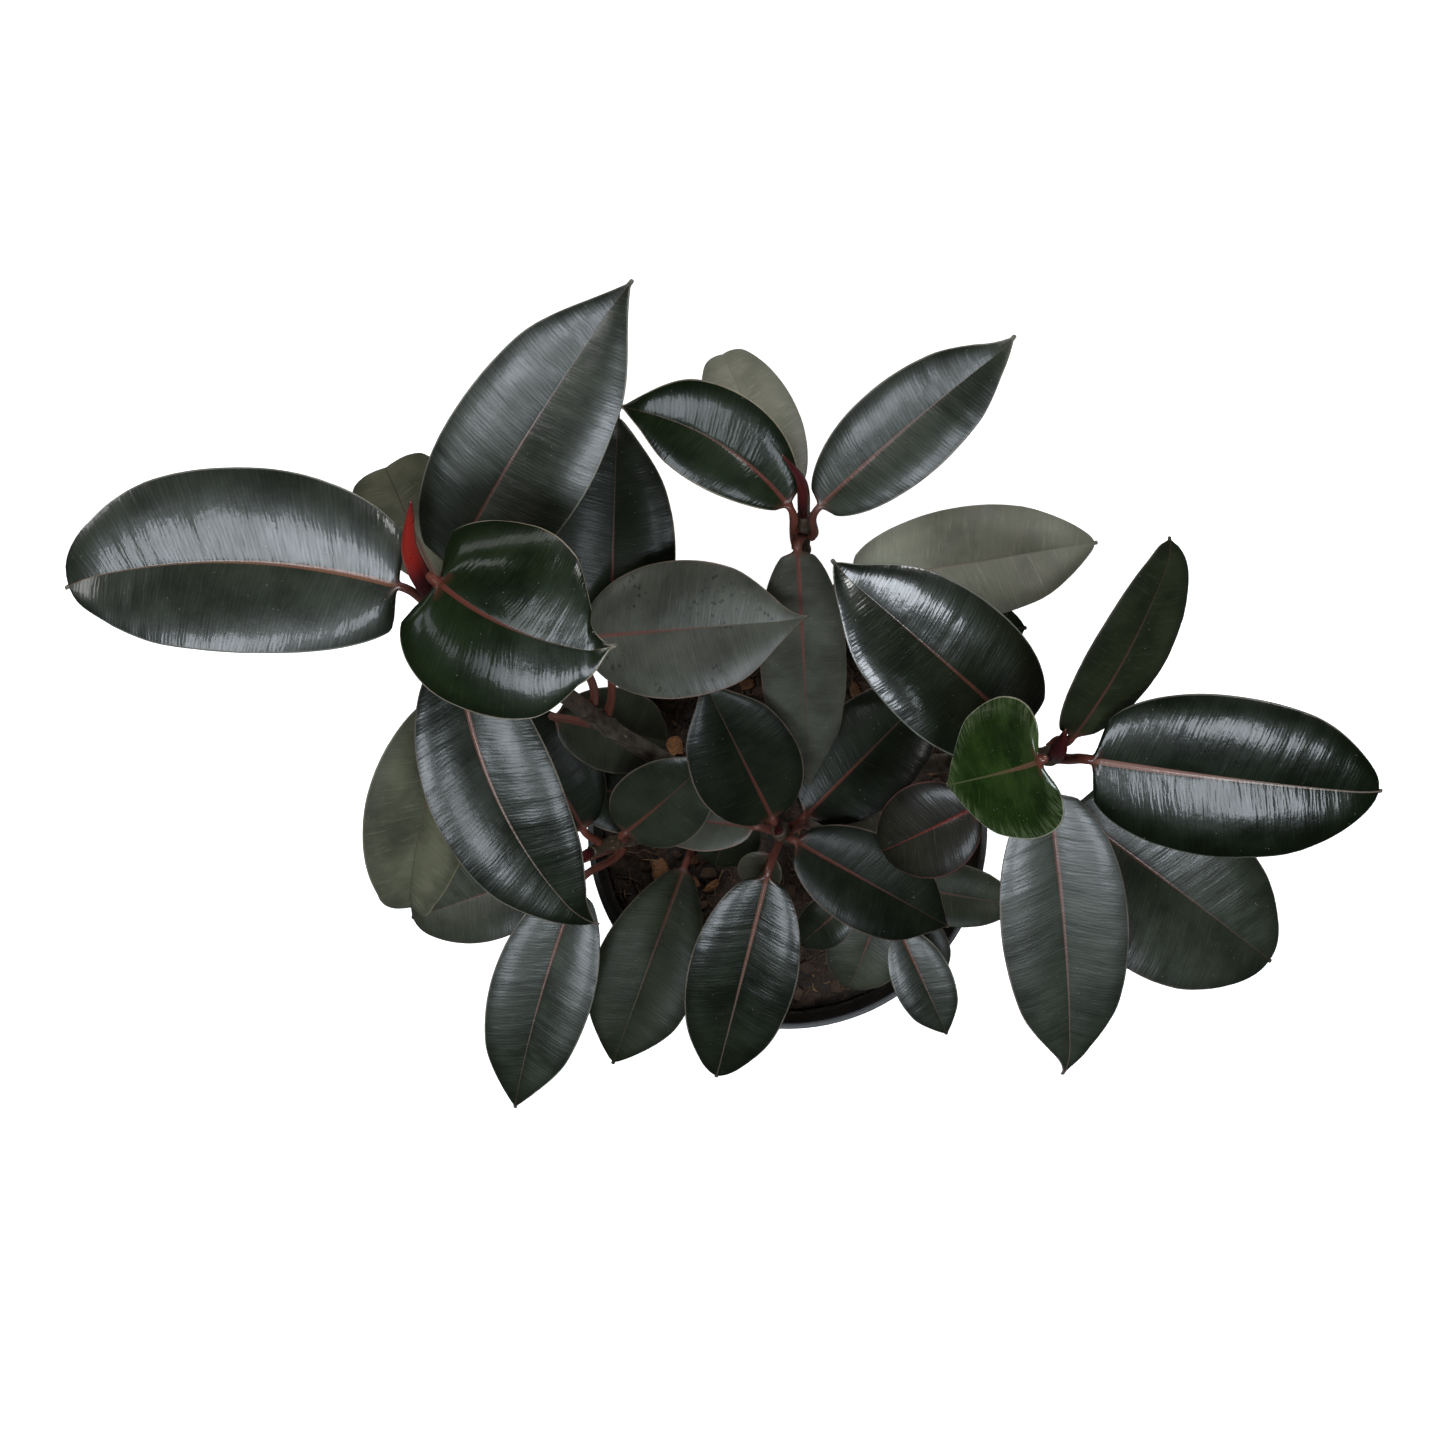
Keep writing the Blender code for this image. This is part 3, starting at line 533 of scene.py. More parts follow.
UNDERSIDE = (0.06, 0.046, 0.026)
UNDER_RIB = (0.135, 0.042, 0.03)
STALK_RED = (0.115, 0.032, 0.021)
STALK_BROWN = (0.062, 0.022, 0.015)
DUST = (0.175, 0.182, 0.136)
SPECK = (0.34, 0.34, 0.3)
# Colour of the painted highlight streaks inside a young leaf's margin
PAINTED_SHEEN = (0.085, 0.11, 0.052)
SOFT_TINT = (1.06, 1.03, 0.94)

# Bark, pot, soil and floor: two colours in a row are the dark and the light tone of one surface
OLD_BARK = ((0.018, 0.013, 0.009), (0.066, 0.052, 0.034))
YOUNG_BARK = ((0.024, 0.016, 0.009), (0.062, 0.04, 0.02))
BARK_PATCH = (0.13, 0.115, 0.085)
BARK_PORE = (0.2, 0.16, 0.11)
LEAF_SCAR = (0.022, 0.013, 0.009)
PLASTIC = ((0.0092, 0.0092, 0.0096), (0.015, 0.0148, 0.0143))
SCUFF = (0.075, 0.075, 0.074)
DRIED_SOIL = (0.04, 0.026, 0.016)
FOOT_DUST = (0.085, 0.075, 0.062)
EARTH = ((0.0085, 0.005, 0.0032), (0.03, 0.0165, 0.009))
EARTH_CRUMB = (0.09, 0.05, 0.025)
EARTH_THREAD = (0.125, 0.072, 0.036)
FLOOR = ((0.9, 0.9, 0.9), (0.93, 0.93, 0.93))
WHITE = (1.0, 1.0, 1.0)

# Dark, middle and bright tones of the loose bits, and bright, deep and tip colours of the sheaths
CHIP_TONES = ((0.012, 0.007, 0.004), (0.06, 0.03, 0.014), (0.3, 0.13, 0.045))
FIBRE_TONES = ((0.02, 0.011, 0.006), (0.11, 0.062, 0.03), (0.33, 0.2, 0.1))
BRIGHT_SHEATH = ((0.19, 0.01, 0.006), (0.03, 0.0035, 0.0055), (0.07, 0.006, 0.007))
DARK_SHEATH = ((0.052, 0.005, 0.0058), (0.024, 0.0045, 0.0052), (0.09, 0.022, 0.02))
FLOOR_GLOW = 0.62

# Where a band of colour ends and where it is full, in metres from the margin or the midrib
VEIN_STEP = 0.0019
# How far in from the margin the painted shade reaches
PAINTED_SHADE_REACH = 0.01
PAINTED_SHEEN_BAND = (0.012, 0.002)
RIM_BAND = (0.00075, 0.0002)
UNDER_RIB_BAND = (0.003, 0.0015)
STALK_BAND = (0.0085, 0.0066)

# Heights on the pot: how far splashes of soil and dust reach
SPLASH_REACH = 0.018
SPLASH_BAND = (0.216, 0.203)
DUST_HEIGHT = 0.04

# Shares of the blade between which the shine of a bare foot comes back
SHINE_SPAN = (0.35, 0.72)

# The shade, dim and olive skins are darker and duller, for leaves deep inside the plant: painted shade in
# their ribs and margins
SKINS = {
    "waxy": Skin(
        (0.0042, 0.0058, 0.004), (0.0084, 0.0112, 0.008), (0.15, 0.062, 0.034), (0.075, 0.055, 0.035),
        (0.15, 0.15, 0.12), gloss=0.41, coat=0.28, coat_gloss=0.1, specular=0.46, dust=0.04, ripple=1.0,
        rib_half=0.00115,
    ),
    "glossy": Skin(
        (0.0018, 0.0032, 0.0013), (0.004, 0.007, 0.0029), (0.2, 0.105, 0.08), (0.15, 0.12, 0.095),
        (0.11, 0.105, 0.085), gloss=0.3, coat=0.34, coat_gloss=0.11, specular=0.22, dust=0.005,
        ripple=1.0, rib_half=0.0012,
    ),
    "satin": Skin(
        (0.0036, 0.0056, 0.0028), (0.0078, 0.0118, 0.0056), (0.1, 0.036, 0.022), (0.046, 0.04, 0.03),
        (0.14, 0.135, 0.105), gloss=0.42, coat=0.12, coat_gloss=0.17, specular=0.64, dust=0.03,
        ripple=0.9,
    ),
    "ribbed": Skin(
        (0.0028, 0.0042, 0.0025), (0.006, 0.0086, 0.005), (0.145, 0.065, 0.047), (0.084, 0.066, 0.052),
        (0.12, 0.105, 0.085), gloss=0.33, coat=0.15, coat_gloss=0.15, specular=0.34, dust=0.01,
        ripple=1.0, rib_half=0.00105,
    ),
    "deep": Skin(
        (0.0027, 0.005, 0.002), (0.006, 0.0108, 0.0042), (0.096, 0.0272, 0.0192), (0.032, 0.032, 0.0192),
        (0.24, 0.208, 0.152), gloss=0.3, coat=0.24, coat_gloss=0.1, specular=0.24, dust=0.015, ripple=0.9,
    ),
    "young": Skin(
        (0.0044, 0.0125, 0.0018), (0.017, 0.038, 0.006), (0.12, 0.056, 0.032), (0.048, 0.072, 0.024),
        (0.336, 0.32, 0.232), gloss=0.26, coat=0.45, coat_gloss=0.09, specular=0.36, dust=0.0, ripple=0.8,
        painted_sheen=0.5, tint=(1.06, 1.06, 0.8),
    ),
    "shade": Skin(
        (0.0026, 0.0036, 0.0024), (0.0056, 0.0076, 0.005), (0.076, 0.024, 0.017), (0.032, 0.024, 0.018),
        (0.1, 0.076, 0.058), gloss=0.4, coat=0.05, coat_gloss=0.16, specular=0.16, dust=0.02, ripple=0.9,
    ),
    "low": Skin(
        (0.0048, 0.0066, 0.0044), (0.0105, 0.0135, 0.0092), (0.092, 0.032, 0.0208), (0.04, 0.033, 0.023),
        (0.096, 0.076, 0.058), gloss=0.37, coat=0.1, coat_gloss=0.16, specular=0.36, dust=0.06,
        ripple=0.9,
    ),
    "mirror": Skin(
        (0.002, 0.0034, 0.0014), (0.0044, 0.0076, 0.0031), (0.098, 0.034, 0.021), (0.046, 0.036, 0.026),
        (0.12, 0.12, 0.1), gloss=0.32, coat=0.72, coat_gloss=0.11, specular=0.44, dust=0.01, ripple=1.0,
    ),
    "dull": Skin(
        (0.0085, 0.0095, 0.0066), (0.017, 0.0185, 0.013), (0.09, 0.034, 0.024), (0.045, 0.038, 0.026),
        (0.09, 0.072, 0.052), gloss=0.45, coat=0.05, coat_gloss=0.25, specular=0.34, dust=0.12,
        ripple=0.8,
    ),
    "dim": Skin(
        (0.0022, 0.003, 0.0018), (0.0046, 0.006, 0.0036), (0.05, 0.018, 0.013), (0.024, 0.018, 0.014),
        (0.04, 0.032, 0.024), gloss=0.46, coat=0.02, coat_gloss=0.16, specular=0.07, dust=0.01,
        ripple=0.9,
    ),
    "broad": Skin(
        (0.005, 0.0072, 0.0042), (0.0105, 0.0145, 0.0088), (0.125, 0.056, 0.042), (0.084, 0.06, 0.046),
        (0.12, 0.1, 0.085), gloss=0.45, coat=0.16, coat_gloss=0.16, specular=0.78, dust=0.03, ripple=0.9,
        rib_half=0.00105,
    ),
    "olive": Skin(
        (0.006, 0.0072, 0.0034), (0.013, 0.015, 0.0074), (0.064, 0.028, 0.019), (0.038, 0.032, 0.019),
        (0.048, 0.044, 0.028), gloss=0.48, coat=0.03, coat_gloss=0.25, specular=0.16, dust=0.04,
        ripple=0.8,
    ),
    "old": Skin(
        (0.033, 0.036, 0.022), (0.082, 0.086, 0.054), (0.096, 0.0416, 0.024), (0.048, 0.048, 0.0272),
        (0.11, 0.098, 0.06), gloss=0.46, coat=0.08, coat_gloss=0.25, specular=0.34, dust=0.14, ripple=0.8,
        tint=SOFT_TINT,
    ),
    "dusty": Skin(
        (0.013, 0.0145, 0.0115), (0.026, 0.0285, 0.023), (0.104, 0.0416, 0.032), (0.056, 0.0528, 0.04),
        (0.128, 0.088, 0.068), gloss=0.46, coat=0.05, coat_gloss=0.25, specular=0.4, dust=0.24,
        ripple=0.7, tint=SOFT_TINT,
    ),
    "pale": Skin(
        (0.12, 0.125, 0.1), (0.22, 0.228, 0.186), (0.22, 0.18, 0.14), (0.17, 0.175, 0.13),
        (0.17, 0.15, 0.115), gloss=0.5, coat=0.05, coat_gloss=0.28, specular=0.45, dust=0.35, ripple=0.8,
        tint=SOFT_TINT,
    ),
    "plum": Skin(
        (0.0062, 0.0046, 0.0044), (0.013, 0.0098, 0.009), (0.12, 0.0176, 0.0128), (0.096, 0.024, 0.016),
        (0.08, 0.032, 0.0272), gloss=0.4, coat=0.14, coat_gloss=0.15, specular=0.22, dust=0.02,
        ripple=0.9,
    ),
}

SKINS |= {
    "spotted": replace(SKINS["dusty"], spots=0.85),
    "calm": replace(SKINS["satin"], specular=0.48),
    "faint": replace(SKINS["deep"], coat=0.15, specular=0.13),
    "domed": replace(SKINS["deep"], bare=0.72),
    "lit": replace(SKINS["low"], coat=0.16, specular=0.62),
}


def scaled(colour, share):
    """A darker or brighter colour."""
    return tuple(share * c for c in colour)


class Look:
    """A procedural material under construction on one Principled shader."""

    def __init__(self, name):
        self.material = bpy.data.materials.new(name)
        self.material.use_nodes = True
        self.tree = self.material.node_tree
        self.shader = self.tree.nodes["Principled BSDF"]

    def feed(self, socket, value):
        if isinstance(value, bpy.types.NodeSocket):
            self.tree.links.new(value, socket)
        elif isinstance(value, tuple) and len(value) == 3 and socket.type == "RGBA":
            socket.default_value = (*value, 1.0)
        else:
            socket.default_value = value

    def node(self, kind, settings=None, **inputs):
        node = self.tree.nodes.new(kind)
        for key, value in (settings or {}).items():
            setattr(node, key, value)
        for key, value in inputs.items():
            self.feed(node.inputs[key.replace("_", " ")], value)
        return node

    def math(self, operation, *values):
        node = self.tree.nodes.new("ShaderNodeMath")
        node.operation = operation
        for socket, value in zip(node.inputs, values):
            self.feed(socket, value)
        return node.outputs[0]

    def times(self, a, b):
        return self.math("MULTIPLY", a, b)

    def plus(self, a, b):
        return self.math("ADD", a, b)

    def band(self, value, start, end, low=0.0, high=1.0):
        """Goes smoothly from low to high as the value goes from start to end."""
        if start > end:
            start, end, low, high = end, start, high, low
        node = self.tree.nodes.new("ShaderNodeMapRange")
        node.interpolation_type = "SMOOTHSTEP"
        for socket, size in zip(node.inputs, (value, start, end, low, high)):
            self.feed(socket, size)
        return node.outputs[0]

    def mix(self, factor, a, b):
        node = self.tree.nodes.new("ShaderNodeMix")
        node.data_type = "RGBA"
        self.feed(node.inputs[0], factor)
        self.feed(node.inputs[6], a)
        self.feed(node.inputs[7], b)
        return node.outputs[2]

    def vector(self, x, y, z):
        return self.node("ShaderNodeCombineXYZ", X=x, Y=y, Z=z).outputs[0]

    def noise(self, place, scale, detail=2.0, roughness=0.5):
        node = self.node("ShaderNodeTexNoise", Vector=place, Scale=scale, Detail=detail, Roughness=roughness)
        return node.outputs[0]

    def mapped(self, place, **settings):
        return self.node("ShaderNodeMapping", Vector=place, **settings).outputs[0]

    def cells(self, place, scale):
        return self.node("ShaderNodeTexVoronoi", Vector=place, Scale=scale).outputs

    def attribute(self, name):
        return self.node("ShaderNodeAttribute", {"attribute_name": name})

    def parts(self, name):
        split = self.node("ShaderNodeSeparateXYZ", Vector=self.attribute(name).outputs["Vector"])
        return split.outputs[:3]

    def here(self):
        return self.node("ShaderNodeTexCoord").outputs["Object"]

    def bumps(self, *layers):
        """The normal after one height upon another, each with its own distance."""
        normal = None
        for height, distance in layers:
            node = self.node("ShaderNodeBump", Height=height, Distance=distance, Strength=1.0)
            if normal is not None:
                self.feed(node.inputs["Normal"], normal)
            normal = node.outputs[0]
        return normal

    def finish(self, **inputs):
        for key, value in inputs.items():
            self.feed(self.shader.inputs[key.replace("_", " ")], value)
        return self.material


def leaf_look(name, skin):
    """Waxy skin: clouded green with painted shade towards the margin, or painted highlight streaks inside it
    on a young leaf; slanted side veins, reddish midrib and stalk, a pale margin line that is partly a
    painted highlight, dust, spots.
    """
    look = Look(name)
    across, along, edge = look.parts("leaf_map")
    share, upper, stalk = look.parts("leaf_tone")
    seed = look.attribute("leaf_seed").outputs["Fac"]
    far = look.math("ABSOLUTE", across)
    vein = look.math("MULTIPLY_ADD", far, -VEIN_SLANT, along)
    flat = look.vector(across, along, seed)
    fine = look.noise(look.vector(look.times(across, 85.0), look.times(vein, 720.0), seed), 1.0, 2.0, 0.6)
    wide = look.noise(look.vector(look.times(across, 20.0), look.times(vein, 190.0), seed), 1.0, 3.0, 0.55)
    clouds = look.noise(flat, 34.0, 4.0, 0.6)
    sway = look.times(look.noise(flat, 70.0), 14.0)
    lines = look.math("SINE", look.math("MULTIPLY_ADD", vein, 2 * math.pi / VEIN_STEP, sway))
    grain = look.noise(flat, 420.0, 3.0, 0.6)
    hammer = look.noise(flat, 230.0)

    dark, light = (tuple(a * b for a, b in zip(tone, skin.tint)) for tone in (skin.dark, skin.light))
    green = look.mix(look.band(clouds, 0.32, 0.68), dark, light)
    pale_vein = tuple(1.6 * c + 0.003 for c in light)
    green = look.mix(look.band(fine, 0.56, 0.74, 0.0, 0.4), green, pale_vein)
    deep = scaled(dark, 0.6)
    if skin.painted_sheen:
        # Painted highlight: pale streaks along the veins inside the margin
        lit = look.times(look.band(edge, *PAINTED_SHEEN_BAND), look.band(fine, 0.42, 0.62, 0.1, 1.0))
        green = look.mix(look.times(lit, skin.painted_sheen), green, PAINTED_SHEEN)
    else:
        # Painted shade: the greens darken towards the margin
        green = look.mix(look.band(edge, PAINTED_SHADE_REACH, 0.0, 0.0, 0.55), green, deep)
    green = look.mix(look.band(grain, 0.6, 0.8, 0.0, 0.5), green, deep)

    rib_width = look.band(share, 0.0, 0.9, 1.45 * skin.rib_half, 0.4 * skin.rib_half)
    rib = look.band(look.math("DIVIDE", far, rib_width), 1.25, 0.7)
    rib_colour = look.mix(look.band(share, 0.15, 0.8), skin.rib, skin.rib_tip)
    streaks = look.noise(look.vector(look.times(across, 2600.0), along, seed), 1.0, 1.0)
    rib_colour = look.mix(look.band(streaks, 0.3, 0.7, 0.0, 0.45), rib_colour, scaled(skin.rib, 0.55))

    speck = look.cells(flat, 360.0)
    pick = look.node("ShaderNodeSeparateColor", Color=speck["Color"]).outputs[0]
    specks = look.times(look.band(speck["Distance"], 0.1, 0.05), look.math("GREATER_THAN", pick, 0.8))
    top = look.mix(look.times(look.band(clouds, 0.25, 0.75, 0.4, 1.0), skin.dust), green, DUST)
    if skin.spots:
        spot = look.band(look.cells(flat, 300.0)["Distance"], 0.34, 0.2)
        spot = look.times(spot, look.band(look.noise(flat, 45.0, 3.0), 0.52, 0.62))
        top = look.mix(look.times(spot, skin.spots), top, deep)
    top = look.mix(look.times(specks, 0.45), top, SPECK)
    top = look.mix(rib, top, rib_colour)

    below = look.mix(look.noise(flat, 60.0, 3.0), UNDERSIDE, scaled(UNDERSIDE, 0.55))
    below = look.mix(look.band(fine, 0.45, 0.75, 0.0, 0.5), below, scaled(UNDERSIDE, 1.5))
    below = look.mix(look.band(far, *UNDER_RIB_BAND), below, UNDER_RIB)
    colour = look.mix(look.band(upper, 0.35, 0.65), below, top)
    # Pale margin line: partly the leaf's own pale edge, partly a painted highlight of the curled margin
    rim = look.times(look.band(edge, *RIM_BAND), look.band(clouds, 0.3, 0.6, 0.35, 1.0))
    rim = look.times(rim, look.band(share, 0.02, 0.1))
    colour = look.mix(rim, colour, skin.rim)
    stalk = look.times(stalk, look.band(far, *STALK_BAND))
    colour = look.mix(stalk, colour, look.mix(look.noise(flat, 90.0), STALK_RED, STALK_BROWN))

    gloss = look.band(clouds, 0.3, 0.7, skin.gloss - 0.05, skin.gloss + 0.07)
    gloss = look.plus(gloss, look.times(specks, 0.3))
    gloss = look.plus(gloss, look.band(upper, 0.65, 0.35, 0.0, 0.18))
    shine = look.plus(look.band(fine, 0.3, 0.7, 0.78, 1.0), look.band(lines, -1.0, 1.0, -0.07, 0.07))
    shine = look.times(shine, look.band(share, *SHINE_SPAN, 1 - skin.bare, 1.0))
    sizes = ((wide, 0.0003), (fine, 0.00007), (lines, 0.000008), (hammer, 0.00008))
    normal = look.bumps(*((height, size * skin.ripple) for height, size in sizes), (grain, 0.00003))
    return look.finish(
        Base_Color=colour,
        Roughness=gloss,
        Specular_IOR_Level=look.times(shine, 1.13 * skin.specular),
        Coat_Weight=look.times(shine, 1.13 * skin.coat),
        Coat_Roughness=skin.coat_gloss,
        Normal=normal,
        Coat_Normal=normal,
    )


def bark_look():
    """Grey-brown bark below and greener, redder young wood above, with rings, cracks and pale pores."""
    look = Look("bark")
    around, along, share = look.parts("cane_map")
    scar = look.attribute("cane_scar").outputs["Fac"]
    place = look.vector(look.times(around, 700.0), look.times(along, 90.0), 0.0)
    fibre = look.noise(place, 1.0, 4.0, 0.65)
    patches = look.noise(look.here(), 60.0, 4.0, 0.6)
    grain = look.band(fibre, 0.3, 0.7)
    wood = look.mix(look.band(share, 0.45, 0.85), look.mix(grain, *OLD_BARK), look.mix(grain, *YOUNG_BARK))
    wood = look.mix(look.band(patches, 0.55, 0.75, 0.0, 0.5), wood, BARK_PATCH)
    wood = look.mix(look.band(look.cells(place, 0.9)["Distance"], 0.16, 0.08, 0.0, 0.7), wood, BARK_PORE)
    wood = look.mix(look.times(scar, 0.75), wood, LEAF_SCAR)
    normal = look.bumps((fibre, 0.00025), (patches, 0.0003))
    return look.finish(Base_Color=wood, Roughness=look.band(patches, 0.3, 0.7, 0.5, 0.72), Normal=normal)


def sheath_look(name, bright, deep, tip):
    """Rolled bud sheath: bright red with fine lengthwise veins, maroon towards its foot."""
    look = Look(name)
    around, along, share = look.parts("cane_map")
    veins = look.noise(look.vector(look.times(around, 1500.0), look.times(along, 60.0), 0.0), 1.0)
    blotch = look.noise(look.here(), 160.0, 3.0)
    turned = look.math("MULTIPLY_ADD", around, 14.0, share)
    red = look.mix(look.band(turned, 0.16, 0.42), deep, bright)
    red = look.mix(look.band(veins, 0.5, 0.72, 0.0, 0.5), red, scaled(bright, 0.45))
    red = look.mix(look.band(blotch, 0.55, 0.75, 0.0, 0.35), red, deep)
    red = look.mix(look.band(share, 0.86, 1.0, 0.0, 0.8), red, tip)
    return look.finish(
        Base_Color=red,
        Roughness=look.band(blotch, 0.3, 0.7, 0.26, 0.36),
        Coat_Weight=0.35,
        Coat_Roughness=0.18,
        Normal=look.bumps((veins, 0.00022)),
    )


def pot_look():
    """Satin black moulded plastic with a fine grain, scuffs, turned marks, and dried soil near the mix."""
    look = Look("pot_plastic_black")
    here = look.here()
    x, y, z = look.node("ShaderNodeSeparateXYZ", Vector=here).outputs[:3]
    grain = look.noise(here, 1400.0)
    drawn = look.vector(look.times(x, 60.0), look.times(y, 60.0), look.times(z, 900.0))
    scuff = look.noise(drawn, 1.0, 3.0, 0.7)
    film = look.noise(here, 26.0, 5.0, 0.65)
    black = look.mix(look.band(film, 0.3, 0.8), *PLASTIC)
    black = look.mix(look.band(scuff, 0.66, 0.8, 0.0, 0.3), black, SCUFF)
    radius = look.math("SQRT", look.plus(look.math("POWER", x, 2.0), look.math("POWER", y, 2.0)))
    wall = look.math("MULTIPLY_ADD", z, WALL_WIDENING / (POT_HEIGHT - RIM_HEIGHT), POT_BASE_RADIUS)
    inside = look.math("LESS_THAN", radius, look.math("SUBTRACT", wall, POT_WALL / 2))
    splash = look.noise(here, 210.0, 4.0, 0.7)
    low = look.band(look.math("MULTIPLY_ADD", splash, SPLASH_REACH, z), *SPLASH_BAND)
    soiled = look.times(look.times(low, inside), look.band(splash, 0.42, 0.58))
    black = look.mix(look.times(soiled, 0.85), black, DRIED_SOIL)
    dusty = look.times(look.band(z, DUST_HEIGHT, 0.0, 0.0, 0.45), look.band(splash, 0.3, 0.75))
    black = look.mix(dusty, black, FOOT_DUST)
    rough = look.plus(look.band(film, 0.3, 0.7, 0.38, 0.45), look.times(soiled, 0.35))
    normal = look.bumps((grain, 0.00005), (scuff, 0.00006), (soiled, 0.0004))
    return look.finish(Base_Color=black, Roughness=rough, Normal=normal)


def soil_look():
    """Dark damp potting mix, with paler fibrous crumbs."""
    look = Look("potting_mix_damp")
    here = look.here()
    crumbs = look.noise(here, 240.0, 6.0, 0.72)
    patches = look.noise(here, 48.0, 4.0, 0.6)
    drawn = look.mapped(here, Scale=(900.0, 190.0, 400.0), Rotation=(0.0, 0.0, 0.7))
    threads = look.noise(drawn, 1.0, 3.0, 0.7)
    earth = look.mix(look.band(patches, 0.35, 0.68), *EARTH)
    earth = look.mix(look.band(crumbs, 0.5, 0.72, 0.0, 0.8), earth, EARTH_CRUMB)
    earth = look.mix(look.band(threads, 0.58, 0.74, 0.0, 0.6), earth, EARTH_THREAD)
    normal = look.bumps((crumbs, 0.0016), (threads, 0.0006))
    return look.finish(Base_Color=earth, Roughness=look.band(crumbs, 0.3, 0.7, 0.78, 0.98), Normal=normal)


def bits_look(name, dark, middle, bright, distance):
    """Bark chips or fibres of the mix: each bit has its own tone, and a grain."""
    look = Look(name)
    tone = look.attribute("bit_tone").outputs["Fac"]
    grain = look.noise(look.mapped(look.here(), Scale=(300.0, 1300.0, 500.0)), 1.0, 4.0, 0.7)
    colour = look.mix(look.band(tone, 0.0, 0.7), dark, middle)
    colour = look.mix(look.band(tone, 0.8, 1.0), colour, bright)
    colour = look.mix(look.band(grain, 0.35, 0.65, 0.75, 0.0), colour, scaled(middle, 0.35))
    rough = look.band(grain, 0.3, 0.7, 0.7, 0.95)
    return look.finish(Base_Color=colour, Roughness=rough, Normal=look.bumps((grain, distance)))


def floor_look():
    look = Look("pale_floor")
    pale = look.mix(look.noise(look.here(), 3.0, 3.0), *FLOOR)
    return look.finish(Base_Color=pale, Roughness=0.85, Emission_Color=WHITE, Emission_Strength=FLOOR_GLOW)


def placed(name, data):
    """A new object in the scene."""
    obj = bpy.data.objects.new(name, data)
    bpy.context.scene.collection.objects.link(obj)
    return obj


def solid(name, points, faces, *materials):
    """A new mesh object in the scene."""
    mesh = bpy.data.meshes.new(name)
    mesh.from_pydata(np.asarray(points, float).tolist(), [], faces)
    for material in materials:
        mesh.materials.append(material)
    return placed(name, mesh)


def piece(name, points, faces, material, replaced=(), attributes=None, smooth=True):
    """A mesh object that rides on the plant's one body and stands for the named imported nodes."""
    obj = solid(name, points, faces, material)
    for key, values in (attributes or {}).items():
        values = np.asarray(values, np.float32)
        kind = "FLOAT_VECTOR" if values.ndim == 2 else "FLOAT"
        layer = obj.data.attributes.new(key, kind, "POINT")
        layer.data.foreach_set("vector" if values.ndim == 2 else "value", values.ravel())
    if smooth:
        obj.data.shade_smooth()
    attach(obj, "root")
    if replaced:
        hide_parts(*replaced)
    return obj


def grid_faces(rows, around):
    """Quads between closed sections of the same number of points."""
    faces = []
    for i in range(rows - 1):
        near = i * around
        far = near + around
        for j in range(around):
            k = (j + 1) % around
            faces.append((near + j, near + k, far + k, far + j))
    return faces


def capped_faces(rows, around):
    """The quads between the sections and a cap at either end."""
    start = tuple(range(around - 1, -1, -1))
    last = (rows - 1) * around
    return [start, *grid_faces(rows, around), tuple(range(last, last + around))]


def stations(length):
    """Shares along the blade for its sections, closer together at both ends."""
    count = int(np.clip(length / STATION_STEP, FEWEST_STATIONS, MOST_STATIONS))
    even = np.linspace(0, 1, count)
    return (1 - END_CROWDING) * even + END_CROWDING * (0.5 - 0.5 * np.cos(math.pi * even))


def stalk_path(leaf, cane, count):
    """Bent middle line of the petiole from just inside the cane to the blade, and its directions."""
    axis, up, radius = cane_at(cane, leaf.foot)
    start, forward, _, _ = midrib(leaf, np.array([0.0]))
    target = start[0]
    outward = target - axis
    outward = unit(outward - up * np.dot(outward, up))
    rise = math.radians(leaf.rise)
    leaving = math.cos(rise) * outward + math.sin(rise) * up
    foot_radius = FOOT_SWELL * leaf.petiole
    foot = axis + outward * (radius + GAP + foot_radius * math.sin(rise))
    reach = float(np.linalg.norm(target - foot)) / 3
    a, b, c, d = foot, foot + reach * leaving, target - reach * forward[0], target
    f = np.linspace(0, 1, count)[:, None]
    points = (1 - f) ** 3 * a + 3 * f * (1 - f) ** 2 * b + 3 * f**2 * (1 - f) * c + f**3 * d
    heading = 3 * (1 - f) ** 2 * (b - a) + 6 * f * (1 - f) * (c - b) + 3 * f**2 * (d - c)
    points = np.vstack([foot - leaving * STALK_SINK, points])
    heading = np.vstack([leaving, heading])
    return points, unit(heading)


def round_section(centre, left, above, radius, columns):
    """A circle with its points in the order of a blade section: left edge, top, right edge, underside."""
    angles = math.pi - np.arange(2 * columns + 2) * math.pi / (columns + 1)
    return centre + radius * (-np.cos(angles)[:, None] * left + np.sin(angles)[:, None] * above)


def noise_grid(place):
    """Fixed smooth noise at every point of an array of places."""
    flat = place.reshape(-1, 3)
    values = [noise.noise(Vector(point)) for point in flat.tolist()]
    return np.array(values).reshape(place.shape[:-1])


def bell(x):
    """A rise that is 1 at nought and falls off smoothly on both sides."""
    return np.exp(-(x**2))


def spread(rows, around, *parts):
    """A map of three parts for all points of some sections, from single numbers, rows or columns."""
    return np.stack([np.broadcast_to(part, (rows, around)) for part in parts], axis=2)


